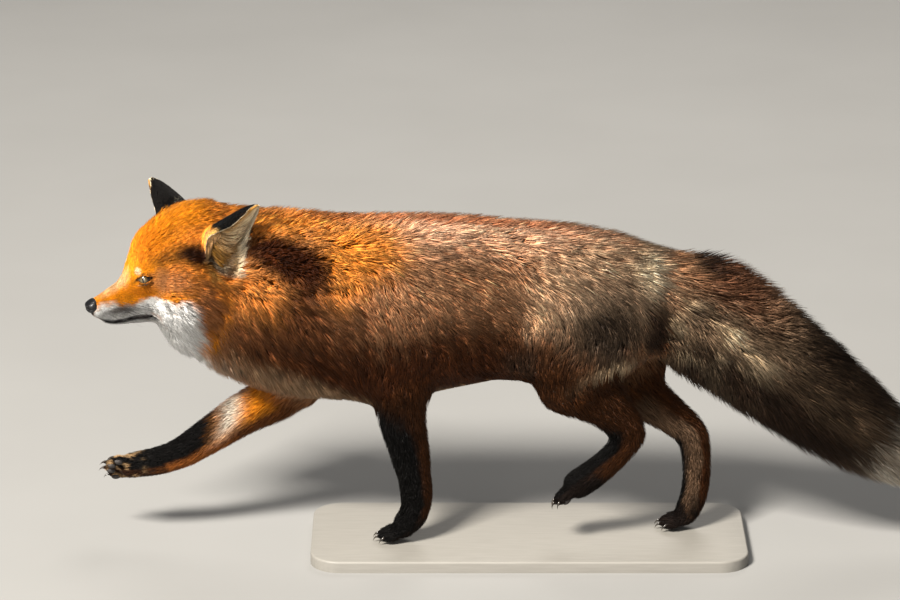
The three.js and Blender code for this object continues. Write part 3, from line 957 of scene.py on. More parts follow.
    def brushed(self, zone: Zone, places: Array) -> Brushed:
        """Comb one zone.

        Args:
            zone: The zone.
            places: Places on it, in metres.

        Returns:
            The coat there.
        """
        if zone is Zone.HEAD:
            found = brush(HEAD.local(places), mirrored(HEAD_STROKES))
            return Brushed(HEAD.turn(found.lie), found.depth, found.length)
        if zone in EARS:
            count = len(places)
            lie = np.tile(HEAD.turn(EARS[zone].rise), (count, 1))
            return Brushed(lie, np.full(count, EAR_DEPTH), np.full(count, EAR_LENGTH))
        if zone in LIMBS or zone is Zone.TAIL:
            line = TAIL_LINE if zone is Zone.TAIL else LIMBS[zone]
            sleeve = TAIL_SLEEVE if zone is Zone.TAIL else SLEEVES[zone]
            share, tangent, _ = line.project(places)
            depth, length = sleeve.at(share)
            return Brushed(tangent, depth, length)
        found = brush(places / MM, mirrored(BODY_STROKES))
        return Brushed(found.lie, BODY_DEPTH * found.depth, found.length)

    def flat(self, directions: Array) -> Array:
        """Lay directions into the surface."""
        inward = (directions * self.normals).sum(axis=1, keepdims=True)
        return unit(directions - self.normals * inward)

    def sink(self) -> None:
        """Move the skin below the outline by the coat's depth, as far as the body's thickness allows."""
        edges = self.edges()
        inward = self.normals.copy()
        for _ in range(12):
            inward = unit(relaxed(inward, edges, 0.6))
        soft = within(self.zones, *SOFT_ZONES)
        inward = np.where(soft[:, None], inward, self.normals)
        room = np.full(len(self.outer), self.thickest)
        clear = 0.1 * MM
        for i, (place, way) in enumerate(zip(self.outer.tolist(), (-inward).tolist())):
            start = [p + clear * w for p, w in zip(place, way)]
            _, _, _, distance = self.tree.ray_cast(start, way, self.thickest)
            room[i] = distance or self.thickest
        depth = np.minimum(self.depth, self.sunk * room)
        for _ in range(6):
            depth = np.minimum(relaxed(depth[:, None], edges, 0.6)[:, 0], np.where(soft, 1.0, depth))
        self.depth = depth
        skin = self.outer - inward * depth[:, None]
        for _ in range(8):
            skin = np.where(soft[:, None], relaxed(skin, edges, 0.5), skin)
        self.skin = skin

    def unwrap(self) -> None:
        """Set the skin's places and unwrap it, keeping each triangle's corners on the map."""
        set_places(self.piece, self.skin)
        select_only(self.piece)
        bpy.ops.object.mode_set(mode="EDIT")
        bpy.ops.mesh.select_all(action="SELECT")
        bpy.ops.uv.smart_project(angle_limit=radians(66), island_margin=0.001)
        bpy.ops.object.mode_set(mode="OBJECT")
        mesh = self.piece.data
        mesh.uv_layers.active.name = MAP_NAME
        mesh.calc_loop_triangles()
        loops = fetched(mesh.loop_triangles, "loops", 3, int)
        self.corners = fetched(mesh.uv_layers.active.data, "uv", 2)[loops]

    def walk(self, places: Array) -> Spots:
        """Find the spots of the outline that are nearest to places."""
        hits = [self.tree.find_nearest(place) for place in places.tolist()]
        index = np.array([hit[2] for hit in hits])
        found = np.array([hit[0][:] for hit in hits])
        return Spots(index, weights_in(found, *(self.outer[self.faces[index, k]] for k in range(3))))

    def mix(self, values: Array, spots: Spots) -> Array:
        """Blend values kept at the vertices to spots on the triangles."""
        corners = values[self.faces[spots.index]]
        return (corners * (spots.weights[:, :, None] if corners.ndim == 3 else spots.weights)).sum(axis=1)

    def areas(self) -> Array:
        """Return the areas of the outline's triangles."""
        a, b, c = (self.outer[self.faces[:, k]] for k in range(3))
        return lengths_of(np.cross(b - a, c - a)) / 2


def relaxed(values: Array, edges: Array, share: float) -> Array:
    """Move values towards the mean of their neighbours'.

    Args:
        values: One row for each vertex.
        edges: Pairs of neighbours.
        share: How far to move, 0 to 1.

    Returns:
        The moved values.
    """
    count = len(values)
    ends = np.concatenate([edges[:, 0], edges[:, 1]])
    others = np.concatenate([edges[:, 1], edges[:, 0]])
    degree = np.maximum(np.bincount(ends, minlength=count), 1)
    means = [np.bincount(ends, values[others, k], count) / degree for k in range(values.shape[1])]
    return values + (np.stack(means, axis=1) - values) * share


def weights_in(place: Array, a: Array, b: Array, c: Array) -> Array:
    """Weigh places in their triangles.

    Args:
        place: The places.
        a: The first corner of each place's triangle.
        b: The second.
        c: The third.

    Returns:
        The weights at the three corners, one row for each place.
    """
    u, v, w = b - a, c - a, place - a
    uu, uv, vv = (u * u).sum(1), (u * v).sum(1), (v * v).sum(1)
    wu, wv = (w * u).sum(1), (w * v).sum(1)
    scale = np.maximum(uu * vv - uv * uv, 1e-18)
    second = np.clip((vv * wu - uv * wv) / scale, 0.0, 1.0)
    third = np.clip((uu * wv - uv * wu) / scale, 0.0, 1.0)
    total = np.maximum(second + third, 1.0)
    second, third = second / total, third / total
    return np.stack([1.0 - second - third, second, third], axis=1)


# ---------- Markings ----------


class Tone(Enum):
    """The colours of the coat: at the root, along the shaft and at the tip of a tuft, 0 to 255."""

    ORANGE = ((168, 86, 6), (224, 129, 12), (242, 156, 30))
    DEEP_ORANGE = ((118, 56, 12), (218, 122, 32), (244, 164, 72))
    RUST = ((56, 27, 12), (150, 82, 36), (208, 148, 102))
    BACK = ((112, 66, 42), (228, 160, 116), (252, 212, 180))
    SPINE = ((88, 42, 20), (188, 98, 48), (216, 138, 88))
    FLANK = ((34, 16, 8), (130, 77, 43), (216, 166, 124))
    # Real dark chestnut fur with painted shade over it, for the lower flank and the low front of the
    # shoulder.
    CHESTNUT = ((20, 9, 4), (58, 28, 10), (86, 46, 20))
    NECK_DARK = ((9, 3, 1), (36, 13, 3), (66, 29, 7))
    HAUNCH = ((84, 56, 38), (184, 138, 100), (236, 198, 162))
    GRIZZLE = ((62, 47, 36), (168, 127, 96), (240, 208, 172))
    SMOKE = ((18, 14, 12), (46, 36, 28), (84, 68, 54))
    SAND = ((110, 86, 60), (206, 176, 136), (240, 218, 184))
    CREAM = ((150, 132, 112), (214, 200, 180), (238, 228, 212))
    WHITE = ((212, 207, 201), (249, 247, 243), (255, 254, 252))
    BELLY = ((84, 62, 42), (152, 120, 88), (184, 154, 122))
    BLACK = ((4, 4, 4), (9, 8, 8), (18, 16, 15))
    BROWN_BLACK = ((14, 9, 7), (28, 18, 12), (48, 32, 22))
    TAN = ((140, 98, 58), (216, 168, 112), (236, 198, 150))
    TAIL_TOP = ((38, 22, 15), (98, 60, 40), (146, 100, 72))
    TAIL = ((32, 24, 17), (98, 75, 56), (178, 150, 120))
    LEG_RUST = ((50, 25, 8), (132, 72, 26), (168, 100, 46))
    LEG_BROWN = ((19, 10, 4), (56, 29, 11), (80, 46, 20))
    EAR_CREAM = ((150, 122, 86), (242, 214, 172), (254, 236, 206))
    GOLD = ((74, 44, 12), (176, 128, 56), (226, 186, 112))
    ASH = ((44, 31, 23), (94, 72, 54), (126, 100, 78))
    STRAW = ((170, 112, 34), (236, 184, 92), (252, 216, 132))
    AMBER = ((116, 52, 6), (182, 96, 12), (204, 120, 26))
    LIP = ((12, 9, 9), (18, 14, 14), (26, 21, 20))

    @property
    def linear(self) -> Array:
        """Return the three colours, linear, one to a row."""
        return linear(np.array(self.value))


@dataclass(frozen=True)
class Sites:
    """Places on the coat's outline in metres, their zones, and a field that breaks the edges of marks."""

    places: Array
    zones: Array
    rough: Array

    def only(self, mine: Array) -> "Sites":
        """Return the chosen places alone."""
        return Sites(self.places[mine], self.zones[mine], self.rough[mine])


@dataclass(frozen=True)
class Patch:
    """A soft-edged patch of colour: an egg shape at a place, in millimetres.

    The left side is given; with both set, the patch lies on the right side too.
    """

    tone: Tone
    at: Triple
    size: Triple
    edge: float = 0.35
    strength: float = 1.0
    zones: tuple[Zone, ...] = ()
    turn: float = 0.0

    def cover(self, folded: Array, sites: Sites) -> Array:
        """Find how much of the patch shows at places.

        Args:
            folded: The places in millimetres, in the patch's frame, folded onto the left side.
            sites: The same places.

        Returns:
            The cover, 0 to 1.
        """
        away = folded - np.array(self.at)
        lean = radians(self.turn)
        turned = np.stack([
            away[:, 0] * cos(lean) + away[:, 2] * sin(lean),
            away[:, 1],
            away[:, 2] * cos(lean) - away[:, 0] * sin(lean),
        ], axis=1)
        distance = lengths_of(turned / np.array(self.size)) + sites.rough
        cover = fade(1.0 - self.edge, 1.0 + self.edge, distance)
        if self.zones:
            cover = cover * within(sites.zones, *self.zones)
        return cover * self.strength


BODY_PATCHES = (
    Patch(Tone.RUST, (-300, 0, 330), (130, 140, 130), 0.45),
    Patch(Tone.BACK, (-40, 0, 436), (290, 84, 56), 0.5),
    Patch(Tone.DEEP_ORANGE, (-318, 0, 424), (122, 68, 46), 0.5),
    # Painted shade over real dark chestnut fur: the lower flank and the low front of the shoulder.
    Patch(Tone.CHESTNUT, (-110, -60, 226), (220, 80, 62), 0.4),
    Patch(Tone.CHESTNUT, (-280, -60, 270), (90, 60, 52), 0.5, 0.8),
    Patch(Tone.CHESTNUT, (-62, -66, 270), (122, 60, 46), 0.5, 0.8),
    Patch(Tone.DEEP_ORANGE, (-206, -48, 386), (54, 50, 31), 0.6, 0.95),
    Patch(Tone.DEEP_ORANGE, (-226, -62, 358), (26, 34, 34), 0.7, 0.75),
    Patch(Tone.DEEP_ORANGE, (-330, -56, 338), (50, 50, 34), 0.6, 0.55),
    # Painted shadow in the hollow of the neck behind the ear, then painted shade in the crease between neck
    # and shoulder.
    Patch(Tone.NECK_DARK, (-294, -50, 372), (58, 44, 26), 0.5, 1.0, turn=-22),
    Patch(Tone.NECK_DARK, (-266, -66, 342), (20, 44, 38), 0.8, 0.85, turn=-12),
    Patch(Tone.SPINE, (-60, 0, 425), (230, 16, 30), 0.5, 0.8),
    Patch(Tone.GRIZZLE, (86, -50, 336), (84, 60, 56), 0.45),
    # Pale tips with a painted highlight along the haunch's front edge.
    Patch(Tone.HAUNCH, (24, -66, 334), (20, 44, 44), 0.6, 0.9, turn=-26),
    Patch(Tone.HAUNCH, (62, -50, 366), (44, 44, 18), 0.6, 0.6),
    # Smoky fur with painted shade on the thigh below the haunch.
    Patch(Tone.SMOKE, (96, -72, 288), (56, 56, 56), 0.7, 1.0),
    Patch(Tone.SMOKE, (-6, -62, 250), (30, 40, 22), 0.5, 0.6),
    Patch(Tone.EAR_CREAM, (139, -40, 361), (16, 44, 25), 0.7, 0.9, turn=25),
    Patch(Tone.LEG_BROWN, (66, -60, 208), (90, 60, 28), 0.5, 0.9),
    Patch(Tone.SAND, (82, -64, 231), (36, 30, 13), 0.7, 0.95, turn=20),
    Patch(Tone.BELLY, (-276, 0, 214), (112, 66, 25), 0.4, 0.85, turn=-19),
    Patch(Tone.BELLY, (-80, 0, 194), (170, 36, 22), 0.45, 0.85),
    Patch(Tone.BELLY, (40, 0, 226), (90, 30, 26), 0.5, 0.85),
    Patch(Tone.CREAM, (-358, 0, 234), (30, 30, 22), 0.45, 0.5),
)

# Marks that run over the seam between body and tail: the dark spot on the tail's root, and a painted shadow
# in the crease between each thigh and the tail.
SEAM_PATCHES = (
    Patch(Tone.BLACK, (203, 0, 366), (30, 38, 15), 0.4, 0.9, (Zone.TRUNK, Zone.TAIL), turn=-36),
    # Painted shadow in the crease between thigh and tail.
    Patch(Tone.BROWN_BLACK, (151, -56, 290), (14, 34, 44), 0.6, 0.95, (Zone.TRUNK, Zone.TAIL), turn=-4),
)

HEAD_PATCHES = (
    Patch(Tone.DEEP_ORANGE, (-70, 60, 0), (48, 40, 60), 0.5),
    Patch(Tone.AMBER, (-14, 16, 34), (32, 26, 24), 0.7, 0.8),
    Patch(Tone.NECK_DARK, (-70, 52, 14), (30, 24, 11), 0.5, 1.0, turn=22),
    Patch(Tone.BROWN_BLACK, (-46, 45, 20), (36, 20, 8), 0.8, 0.7, turn=-4),
    Patch(Tone.RUST, (-30, 46, -8), (26, 24, 14), 0.6, 0.8),
    Patch(Tone.RUST, (-62, 64, -52), (22, 24, 36), 0.5, 0.9),
    Patch(Tone.TAN, (30, 0, -4), (34, 14, 13), 0.5, 0.85),
    Patch(Tone.AMBER, (-2, 28, -16), (22, 16, 8), 0.6, 0.8),
    Patch(Tone.SAND, (0, 24, 9), (4, 6, 4), 0.5, 0.85),
    Patch(Tone.SAND, (-7, 27, -9.5), (8, 5, 1.3), 0.6, 0.6),
    Patch(Tone.BLACK, (3.5, 19.8, -4.8), (4.5, 5, 2.2), 0.6, 0.85, turn=-27),
    Patch(Tone.WHITE, (42, 12, -40), (20, 16, 15), 0.3),
    Patch(Tone.WHITE, (16, 18, -46), (26, 18, 13), 0.3),
    Patch(Tone.WHITE, (-10, 40, -40), (24, 30, 13.5), 0.25),
    Patch(Tone.WHITE, (-36, 56, -50), (14, 30, 20), 0.3),
    Patch(Tone.WHITE, (-33, 44, -84), (20, 60, 30), 0.3),
    Patch(Tone.WHITE, (14, 0, -58), (60, 26, 12)),
    Patch(Tone.WHITE, (-20, 0, -84), (34, 36, 30)),
    Patch(Tone.WHITE, (-44, 0, -112), (30, 34, 26)),
    Patch(Tone.BROWN_BLACK, (-18.5, 47, -37), (2.2, 20, 7), 0.6, 0.6, turn=-12),
    Patch(Tone.GOLD, (-76, 59, -8), (3, 12, 12), 0.7, 0.8, turn=-10),
    Patch(Tone.GOLD, (-85, 59, -14), (2.5, 12, 12), 0.7, 0.8, turn=-25),
    Patch(Tone.SMOKE, (26, 16, -36), (16, 8, 3.6), 0.6, 0.8),
    Patch(Tone.BLACK, (16, 15, -40), (10, 8, 3.4), 0.7, 0.7),
    Patch(Tone.WHITE, (-21, 48, -60), (17, 30, 17), 0.3),
)


@dataclass(frozen=True)
class LegMarks:
    """A leg's colours. Shares run from the body to the toes.

    The black stripe begins at "start" and reaches round the leg to where the front's cosine is "edge".
    """

    start: float
    edge: float
    paw: float
    back: Tone
    inner: Tone
    inward: int
    inner_ends: tuple[float, float] = (0.85, 0.95)
    inner_from: float = -1.0
    streak: float = 9.0
    toes: float = 0.0


LEG_MARKS = {
    Zone.FORE_LEFT: LegMarks(0.41, -0.85, 0.82, Tone.LEG_BROWN, Tone.LEG_RUST, 1),
    Zone.FORE_RIGHT: LegMarks(
        0.58, -0.55, 0.8, Tone.LEG_RUST, Tone.ORANGE, -1, (0.56, 0.68), 0.35, streak=0.55, toes=0.45
    ),
    Zone.HIND_LEFT: LegMarks(0.58, -0.05, 0.81, Tone.LEG_BROWN, Tone.ASH, 1),
    Zone.HIND_RIGHT: LegMarks(0.66, 0.45, 0.87, Tone.LEG_BROWN, Tone.ASH, -1, inner_from=0.4),
}


def lay(shades: Array, tone: Tone, cover: Array) -> None:
    """Lay a tone over the shades where it covers."""
    shades += (tone.linear[None] - shades) * cover[:, None, None]


@dataclass
class Markings:
    """The fox's colours at sites, the same for skin and coat.

    "shades" are the root, shaft and tip colours of each site.
    """

    sites: Sites
    shades: Array = field(init=False)

    def paint(self) -> None:
        """Paint the body, the head, the tail, the limbs and the ears, in this order."""
        self.shades = np.tile(Tone.FLANK.linear, (len(self.sites.places), 1, 1))
        folded = self.sites.places / MM
        folded[:, 1] = -np.abs(folded[:, 1])
        for patch in BODY_PATCHES:
            lay(self.shades, patch.tone, patch.cover(folded, self.sites))
        self.paint_head()
        self.paint_tail()
        for patch in SEAM_PATCHES:
            lay(self.shades, patch.tone, patch.cover(folded, self.sites))
        for zone in LIMBS:
            self.paint_limb(zone)
        for zone in EARS:
            self.paint_ear(zone)

    def settle(self, mine: Array, part: Array, share: Array) -> None:
        """Put a part's colours over the body's, by a share that lets them run together at its root."""
        self.shades[mine] += (part - self.shades[mine]) * share[:, None, None]

    def paint_head(self) -> None:
        """Paint the head: orange above, white below, dark lines at the eyes and lips."""
        mine = within(self.sites.zones, Zone.HEAD, *EARS)
        own = self.sites.only(mine)
        head = HEAD.local(own.places)
        folded = head.copy()
        folded[:, 1] = np.abs(folded[:, 1])
        part = np.tile(Tone.ORANGE.linear, (len(head), 1, 1))
        for patch in HEAD_PATCHES:
            lay(part, patch.tone, patch.cover(folded, own))
        for side in (1, -1):
            share, distance, _ = EYE.measure(head, side)
            near = (distance < 20) & (share < 8)
            lay(part, Tone.LIP, np.where(near, fade(1.15, 1.6, share), 0.0))
        below = head[:, 2] < np.interp(head[:, 0], MOUTH[::-1, 0], MOUTH[::-1, 2])
        gap = mouth_gap(head) * np.where(below & (head[:, 0] > -6), 0.4, 1.0)
        lay(part, Tone.LIP, fade(1.0, 2.6, gap))
        lay(part, Tone.LIP, ease(54, 57, head[:, 0] - 0.2 * np.abs(head[:, 2] + 27)))
        rooted = np.where(own.zones == Zone.HEAD.number, ease(-112, -82, head[:, 0]), 1.0)
        self.settle(mine, part, rooted)

    def paint_tail(self) -> None:
        """Paint the brush: grizzled brown, reddish above, a dark fringe below and a cream tip."""
        mine = self.sites.zones == Zone.TAIL.number
        own = self.sites.only(mine)
        share, _, offset = TAIL_LINE.project(own.places)
        above = unit(offset)[:, 2] * 0.82 + unit(offset)[:, 0] * 0.57
        top = above + own.rough
        part = np.tile(Tone.TAIL.linear, (len(share), 1, 1))
        lay(part, Tone.SMOKE, 0.6 * ease(0.1, 0.9, ripple(own.places, 30 * MM, 9)))
        lay(part, Tone.TAIL_TOP, ease(0.35, 0.9, top) * fade(0.12, 0.42, share))
        lay(part, Tone.BROWN_BLACK, 0.65 * ease(0.3, 0.9, top) * ease(0.22, 0.42, share))
        sandy = ease(-0.1, 0.8, ripple(own.places, 40 * MM, 12)) * fade(0.2, 0.6, above)
        lay(part, Tone.SAND, 0.88 * sandy * fade(0.22, 0.5, share))
        middle = 0.65 * ease(0.26, 0.44, share) * fade(0.72, 0.86, share)
        lay(part, Tone.BROWN_BLACK, middle)
        low = ease(-0.05, 0.5, -above + own.rough) * ease(0.05, 0.18, share)
        lay(part, Tone.BROWN_BLACK, 0.92 * low * fade(0.62, 0.85, share))
        lay(part, Tone.CREAM, ease(0.70, 0.84, share + 0.25 * own.rough))
        self.settle(mine, part, ease(0.0, 0.1, share))

    def paint_limb(self, zone: Zone) -> None:
        """Paint a limb: its back, its inside, the black stripe down its front and the black paw.

        Args:
            zone: Which limb.
        """
        marks = LEG_MARKS[zone]
        mine = self.sites.zones == zone.number
        own = self.sites.only(mine)
        share, tangent, offset = LIMBS[zone].project(own.places)
        ahead = unit(np.cross(tangent, np.array([0.0, 1.0, 0.0])))
        ahead = np.where((ahead @ np.array([-1.0, 0.0, 0.5]))[:, None] < 0, -ahead, ahead)
        around = unit(offset)
        front = (around * ahead).sum(axis=1)
        inner = around[:, 1] * marks.inward
        part = np.tile(marks.back.linear, (len(share), 1, 1))
        facing_in = ease(0.0, 0.5, inner + own.rough - 1.3 * np.maximum(-front, 0.0))
        facing_in *= ease(marks.inner_from - 0.05, marks.inner_from + 0.05, share)
        lay(part, marks.inner, 0.9 * facing_in * fade(*marks.inner_ends, share))
        lay(part, Tone.LEG_BROWN, 0.75 * ease(0.35, -0.5, front) * fade(0.5, 0.6, share))
        streak = np.exp(-(((share - marks.streak + 0.06 * front) / 0.05) ** 2))
        streak = streak * ease(-0.3, 0.3, inner)
        lay(part, Tone.CREAM, streak * ease(-0.9, 0.3, front))
        wide = ease(marks.edge, marks.edge + 0.5, front + 0.5 * own.rough)
        along = share + 0.15 * own.rough + 0.06 * front
        black = ease(marks.start - 0.06, marks.start + 0.08, along) * wide
        paw = ease(marks.paw - 0.05, marks.paw + 0.05, share + 0.2 * own.rough)
        lay(part, Tone.BLACK, np.maximum(black, 0.92 * paw))
        dabs = ease(-0.1, 0.5, ripple(own.places, 16 * MM, 3)) * ease(0.84, 0.9, share)
        lay(part, Tone.TAN, marks.toes * dabs)
        self.settle(mine, part, ease(0.1, 0.34, share))

    def paint_ear(self, zone: Zone) -> None:
        """Paint an ear: black behind, cream in its cup with painted shade at the cup's bottom, and the
        colours of the head at its root.

        Args:
            zone: Which ear.
        """
        mine = within(self.sites.zones, zone, Zone.HEAD, Zone.NECK)
        own = self.sites.only(mine)
        head = HEAD.local(own.places)
        share, across, _ = EARS[zone].own(head)
        on_ear = own.zones == zone.number
        part = self.shades[mine]
        lay(part, Tone.BLACK, on_ear * ease(0.24, 0.36, share + 0.5 * own.rough))
        hollow = EARS[zone].hollow(head) * (np.abs(across) < 1.2)
        lay(part, Tone.EAR_CREAM, hollow)
        # Painted shade at the bottom of the cup.
        lay(part, Tone.BROWN_BLACK, 0.7 * hollow * fade(0.0, 0.2, share))
        rim = ease(0.93, 1.0, across) * fade(0.3, 0.45, share)
        rim = rim * ease(-0.08, 0.14, share)
        lay(part, Tone.STRAW, 0.9 * rim * on_ear)
        self.shades[mine] = part


def shades_at(places: Array, zones: Array) -> Array:
    """Colour places.

    Args:
        places: World places, in metres, on the outline of the coat.
        zones: The zone of each.

    Returns:
        The root, shaft and tip colours of each place.
    """
    rough = 0.09 * ripple(places, 14 * MM, 5) + 0.06 * ripple(places, 5 * MM, 6)
    markings = Markings(Sites(places, zones, rough))
    markings.paint()
    return markings.shades


# ---------- Shader tools ----------


def maths_operator(operation: str, flipped: bool = False) -> Callable[..., "Socket"]:
    """Make an operator on sockets from a Math node.

    Args:
        operation: The node's operation.
        flipped: Whether the socket stands second.

    Returns:
        The operator.
    """

    def combine(socket: "Socket", other: "Socket | float") -> "Socket":
        """Return the combined value."""
        return socket.maths(operation, other, flipped)

    return combine


class Socket:
    """A value that travels through a material, with the usual operators as Math nodes."""

    def __init__(self, shader: "Shader", output: bpy.types.NodeSocket) -> None:
        """Wrap an output socket of a shader's node."""
        self.shader = shader
        self.output = output

    def maths(self, operation: str, other: "Socket | float", flipped: bool = False) -> "Socket":
        """Combine with another value by a Math node."""
        pair = (other, self) if flipped else (self, other)
        return self.shader.node("ShaderNodeMath", {"operation": operation}, {0: pair[0], 1: pair[1]})

    __add__, __radd__ = maths_operator("ADD"), maths_operator("ADD", True)
    __sub__, __rsub__ = maths_operator("SUBTRACT"), maths_operator("SUBTRACT", True)
    __mul__, __rmul__ = maths_operator("MULTIPLY"), maths_operator("MULTIPLY", True)
    __truediv__, __rtruediv__ = maths_operator("DIVIDE"), maths_operator("DIVIDE", True)

    def ramp(self, low: float, high: float) -> "Socket":
        """Return an eased step from 0 at low to 1 at high."""
        inputs = {"Value": self, "From Min": low, "From Max": high}
        return self.shader.node("ShaderNodeMapRange", {"interpolation_type": "SMOOTHSTEP"}, inputs)


class Shader:
    """A material being put together around one Principled BSDF."""

    def __init__(self, name: str) -> None:
        """Start an empty material.

        Args:
            name: The material's name.
        """
        self.material = bpy.data.materials.new(name)
        self.material.use_nodes = True
        self.tree = self.material.node_tree
        self.tree.nodes.clear()
        self.surface = self.tree.nodes.new("ShaderNodeBsdfPrincipled")
        output = self.tree.nodes.new("ShaderNodeOutputMaterial")
        self.tree.links.new(self.surface.outputs["BSDF"], output.inputs["Surface"])

    def node(self, kind: str, settings: dict, inputs: dict, output: int | str = 0) -> Socket:
        """Add a node.

        Args:
            kind: The node's type.
            settings: Its properties, or "stops" for a colour ramp.
            inputs: Values or sockets for its inputs.
            output: Which output to return.

        Returns:
            The wanted output.
        """
        made = self.tree.nodes.new(kind)
        for key, value in settings.items():
            if key == "stops":
                self.set_stops(made.color_ramp, value)
            else:
                setattr(made, key, value)
        for key, value in inputs.items():
            self.feed(made.inputs[key], value)
        return Socket(self, made.outputs[output])

    def set_stops(self, ramp: bpy.types.ColorRamp, stops: list) -> None:
        """Set a colour ramp's stops.

        Args:
            ramp: The ramp.
            stops: Its stops, each a position and a linear colour.
        """
        while len(ramp.elements) < len(stops):
            ramp.elements.new(0.5)
        for element, (position, colour) in zip(ramp.elements, stops):
            element.position = position
            element.color = (*colour, 1.0)

    def feed(self, target: bpy.types.NodeSocket, value: object) -> None:
        """Link or set one input.

        Args:
            target: The input.
            value: A socket to link or a value to set.
        """
        if isinstance(value, Socket):
            self.tree.links.new(value.output, target)
        elif isinstance(value, (tuple, Array)):
            target.default_value = (*value, 1.0) if target.type == "RGBA" else tuple(value)
        else:
            target.default_value = value

    def set(self, **inputs: object) -> Material:
        """Set the surface's inputs, with underscores for spaces, and return the material."""
        for key, value in inputs.items():
            self.feed(self.surface.inputs[key.replace("_", " ")], value)
        return self.material

    def place(self) -> Socket:
        """Return the place on the object."""
        return self.node("ShaderNodeTexCoord", {}, {}, "Object")

    def noise(self, scale: float, detail: float = 3.0, place: Socket | None = None) -> Socket:
        """Return a noise of the given scale."""
        inputs = {"Vector": place or self.place(), "Scale": scale, "Detail": detail}
        return self.node("ShaderNodeTexNoise", {}, inputs)

    def tones(self, factor: Socket, *stops: tuple[float, Triple]) -> Socket:
        """Return a colour ramp with stops, each a position and a display colour of 0 to 255."""
        settings = {"stops": [(position, linear(colour)) for position, colour in stops]}
        return self.node("ShaderNodeValToRGB", settings, {"Fac": factor})

    def blend(self, factor: Socket | float, first: object, second: object, kind: str = "MIX") -> Socket:
        """Mix two colours."""
        settings = {"data_type": "RGBA", "blend_type": kind}
        return self.node("ShaderNodeMix", settings, {0: factor, 6: first, 7: second}, 2)

    def bump(self, height: Socket, strength: float, distance: float) -> Socket:
        """Return a bumped normal."""
        inputs = {"Height": height, "Strength": strength, "Distance": distance}
        return self.node("ShaderNodeBump", {}, inputs, "Normal")


# ---------- Finishes ----------


@dataclass(frozen=True)
class FurFinish:
    """Hair: its colours come from the coat's own attribute, with fine flecks."""

    name: str = "fur"

    def make(self) -> Material:
        """Return the material."""
        shader = Shader(self.name)
        colour = shader.node("ShaderNodeAttribute", {"attribute_name": COLOURS_NAME}, {}, "Color")
        fleck = shader.noise(420.0, 2.0)
        mixed = shader.blend(0.22, colour, fleck, "OVERLAY")
        return shader.set(Base_Color=mixed, Roughness=0.52, Specular_IOR_Level=0.1)


@dataclass(frozen=True)
class SkinFinish:
    """The skin with its short underfur, as a fine streaky bump."""

    name: str = "hide"

    def make(self) -> Material:
        """Return the material."""
        shader = Shader(self.name)
        colour = shader.node("ShaderNodeAttribute", {"attribute_name": COLOURS_NAME}, {}, "Color")
        fine = shader.noise(900.0, 4.0)
        coarse = shader.noise(160.0, 3.0)
        mixed = shader.blend(0.35, colour, fine, "OVERLAY")
        normal = shader.bump(fine + coarse * 0.6, 0.5, 0.0006)
        return shader.set(Base_Color=mixed, Roughness=0.75, Specular_IOR_Level=0.1, Normal=normal)


@dataclass(frozen=True)
class NoseFinish:
    """Moist black pebbled skin."""

    name: str = "nose_skin"

    def make(self) -> Material:
        """Return the material."""
        shader = Shader(self.name)
        inputs = {"Vector": shader.place(), "Scale": 900.0}
        cells = shader.node("ShaderNodeTexVoronoi", {"feature": "F1"}, inputs, "Distance")
        tint = shader.tones(shader.noise(120.0), (0.25, (5, 5, 6)), (0.75, (14, 13, 15)))
        return shader.set(
            Base_Color=tint,
            Roughness=0.38,
            Specular_IOR_Level=0.35,
            Coat_Weight=0.06,
            Normal=shader.bump(1.0 - cells, 0.45, 0.0006),
        )


@dataclass(frozen=True)
class PadFinish:
    """The rough dark skin of the pads."""

    name: str = "pad_skin"

    def make(self) -> Material:
        """Return the material."""
        shader = Shader(self.name)
        grain = shader.noise(700.0, 5.0)
        tint = shader.tones(grain, (0.3, (20, 17, 16)), (0.8, (44, 36, 32)))
        return shader.set(Base_Color=tint, Roughness=0.7, Normal=shader.bump(grain, 0.6, 0.0005))


@dataclass(frozen=True)
class ClawFinish:
    """Dark horn with a wavy grain of paler streaks."""

    name: str = "claw_horn"

    def make(self) -> Material:
        """Return the material."""
        shader = Shader(self.name)
        inputs = {"Vector": shader.place(), "Scale": 220.0, "Distortion": 3.0}
        grain = shader.node("ShaderNodeTexWave", {}, inputs)
        tint = shader.tones(grain, (0.2, (20, 17, 15)), (0.9, (54, 46, 38)))
        return shader.set(Base_Color=tint, Roughness=0.32, Coat_Weight=0.2)


@dataclass(frozen=True)
class WhiskerFinish:
    """A glossy black bristle."""

    name: str = "whisker"

    def make(self) -> Material:
        """Return the material."""
        shader = Shader(self.name)
        tint = shader.tones(shader.noise(60.0), (0.3, (16, 13, 12)), (0.8, (44, 36, 32)))
        return shader.set(Base_Color=tint, Roughness=0.35)


RADIANS_PER_MAP = 4.0


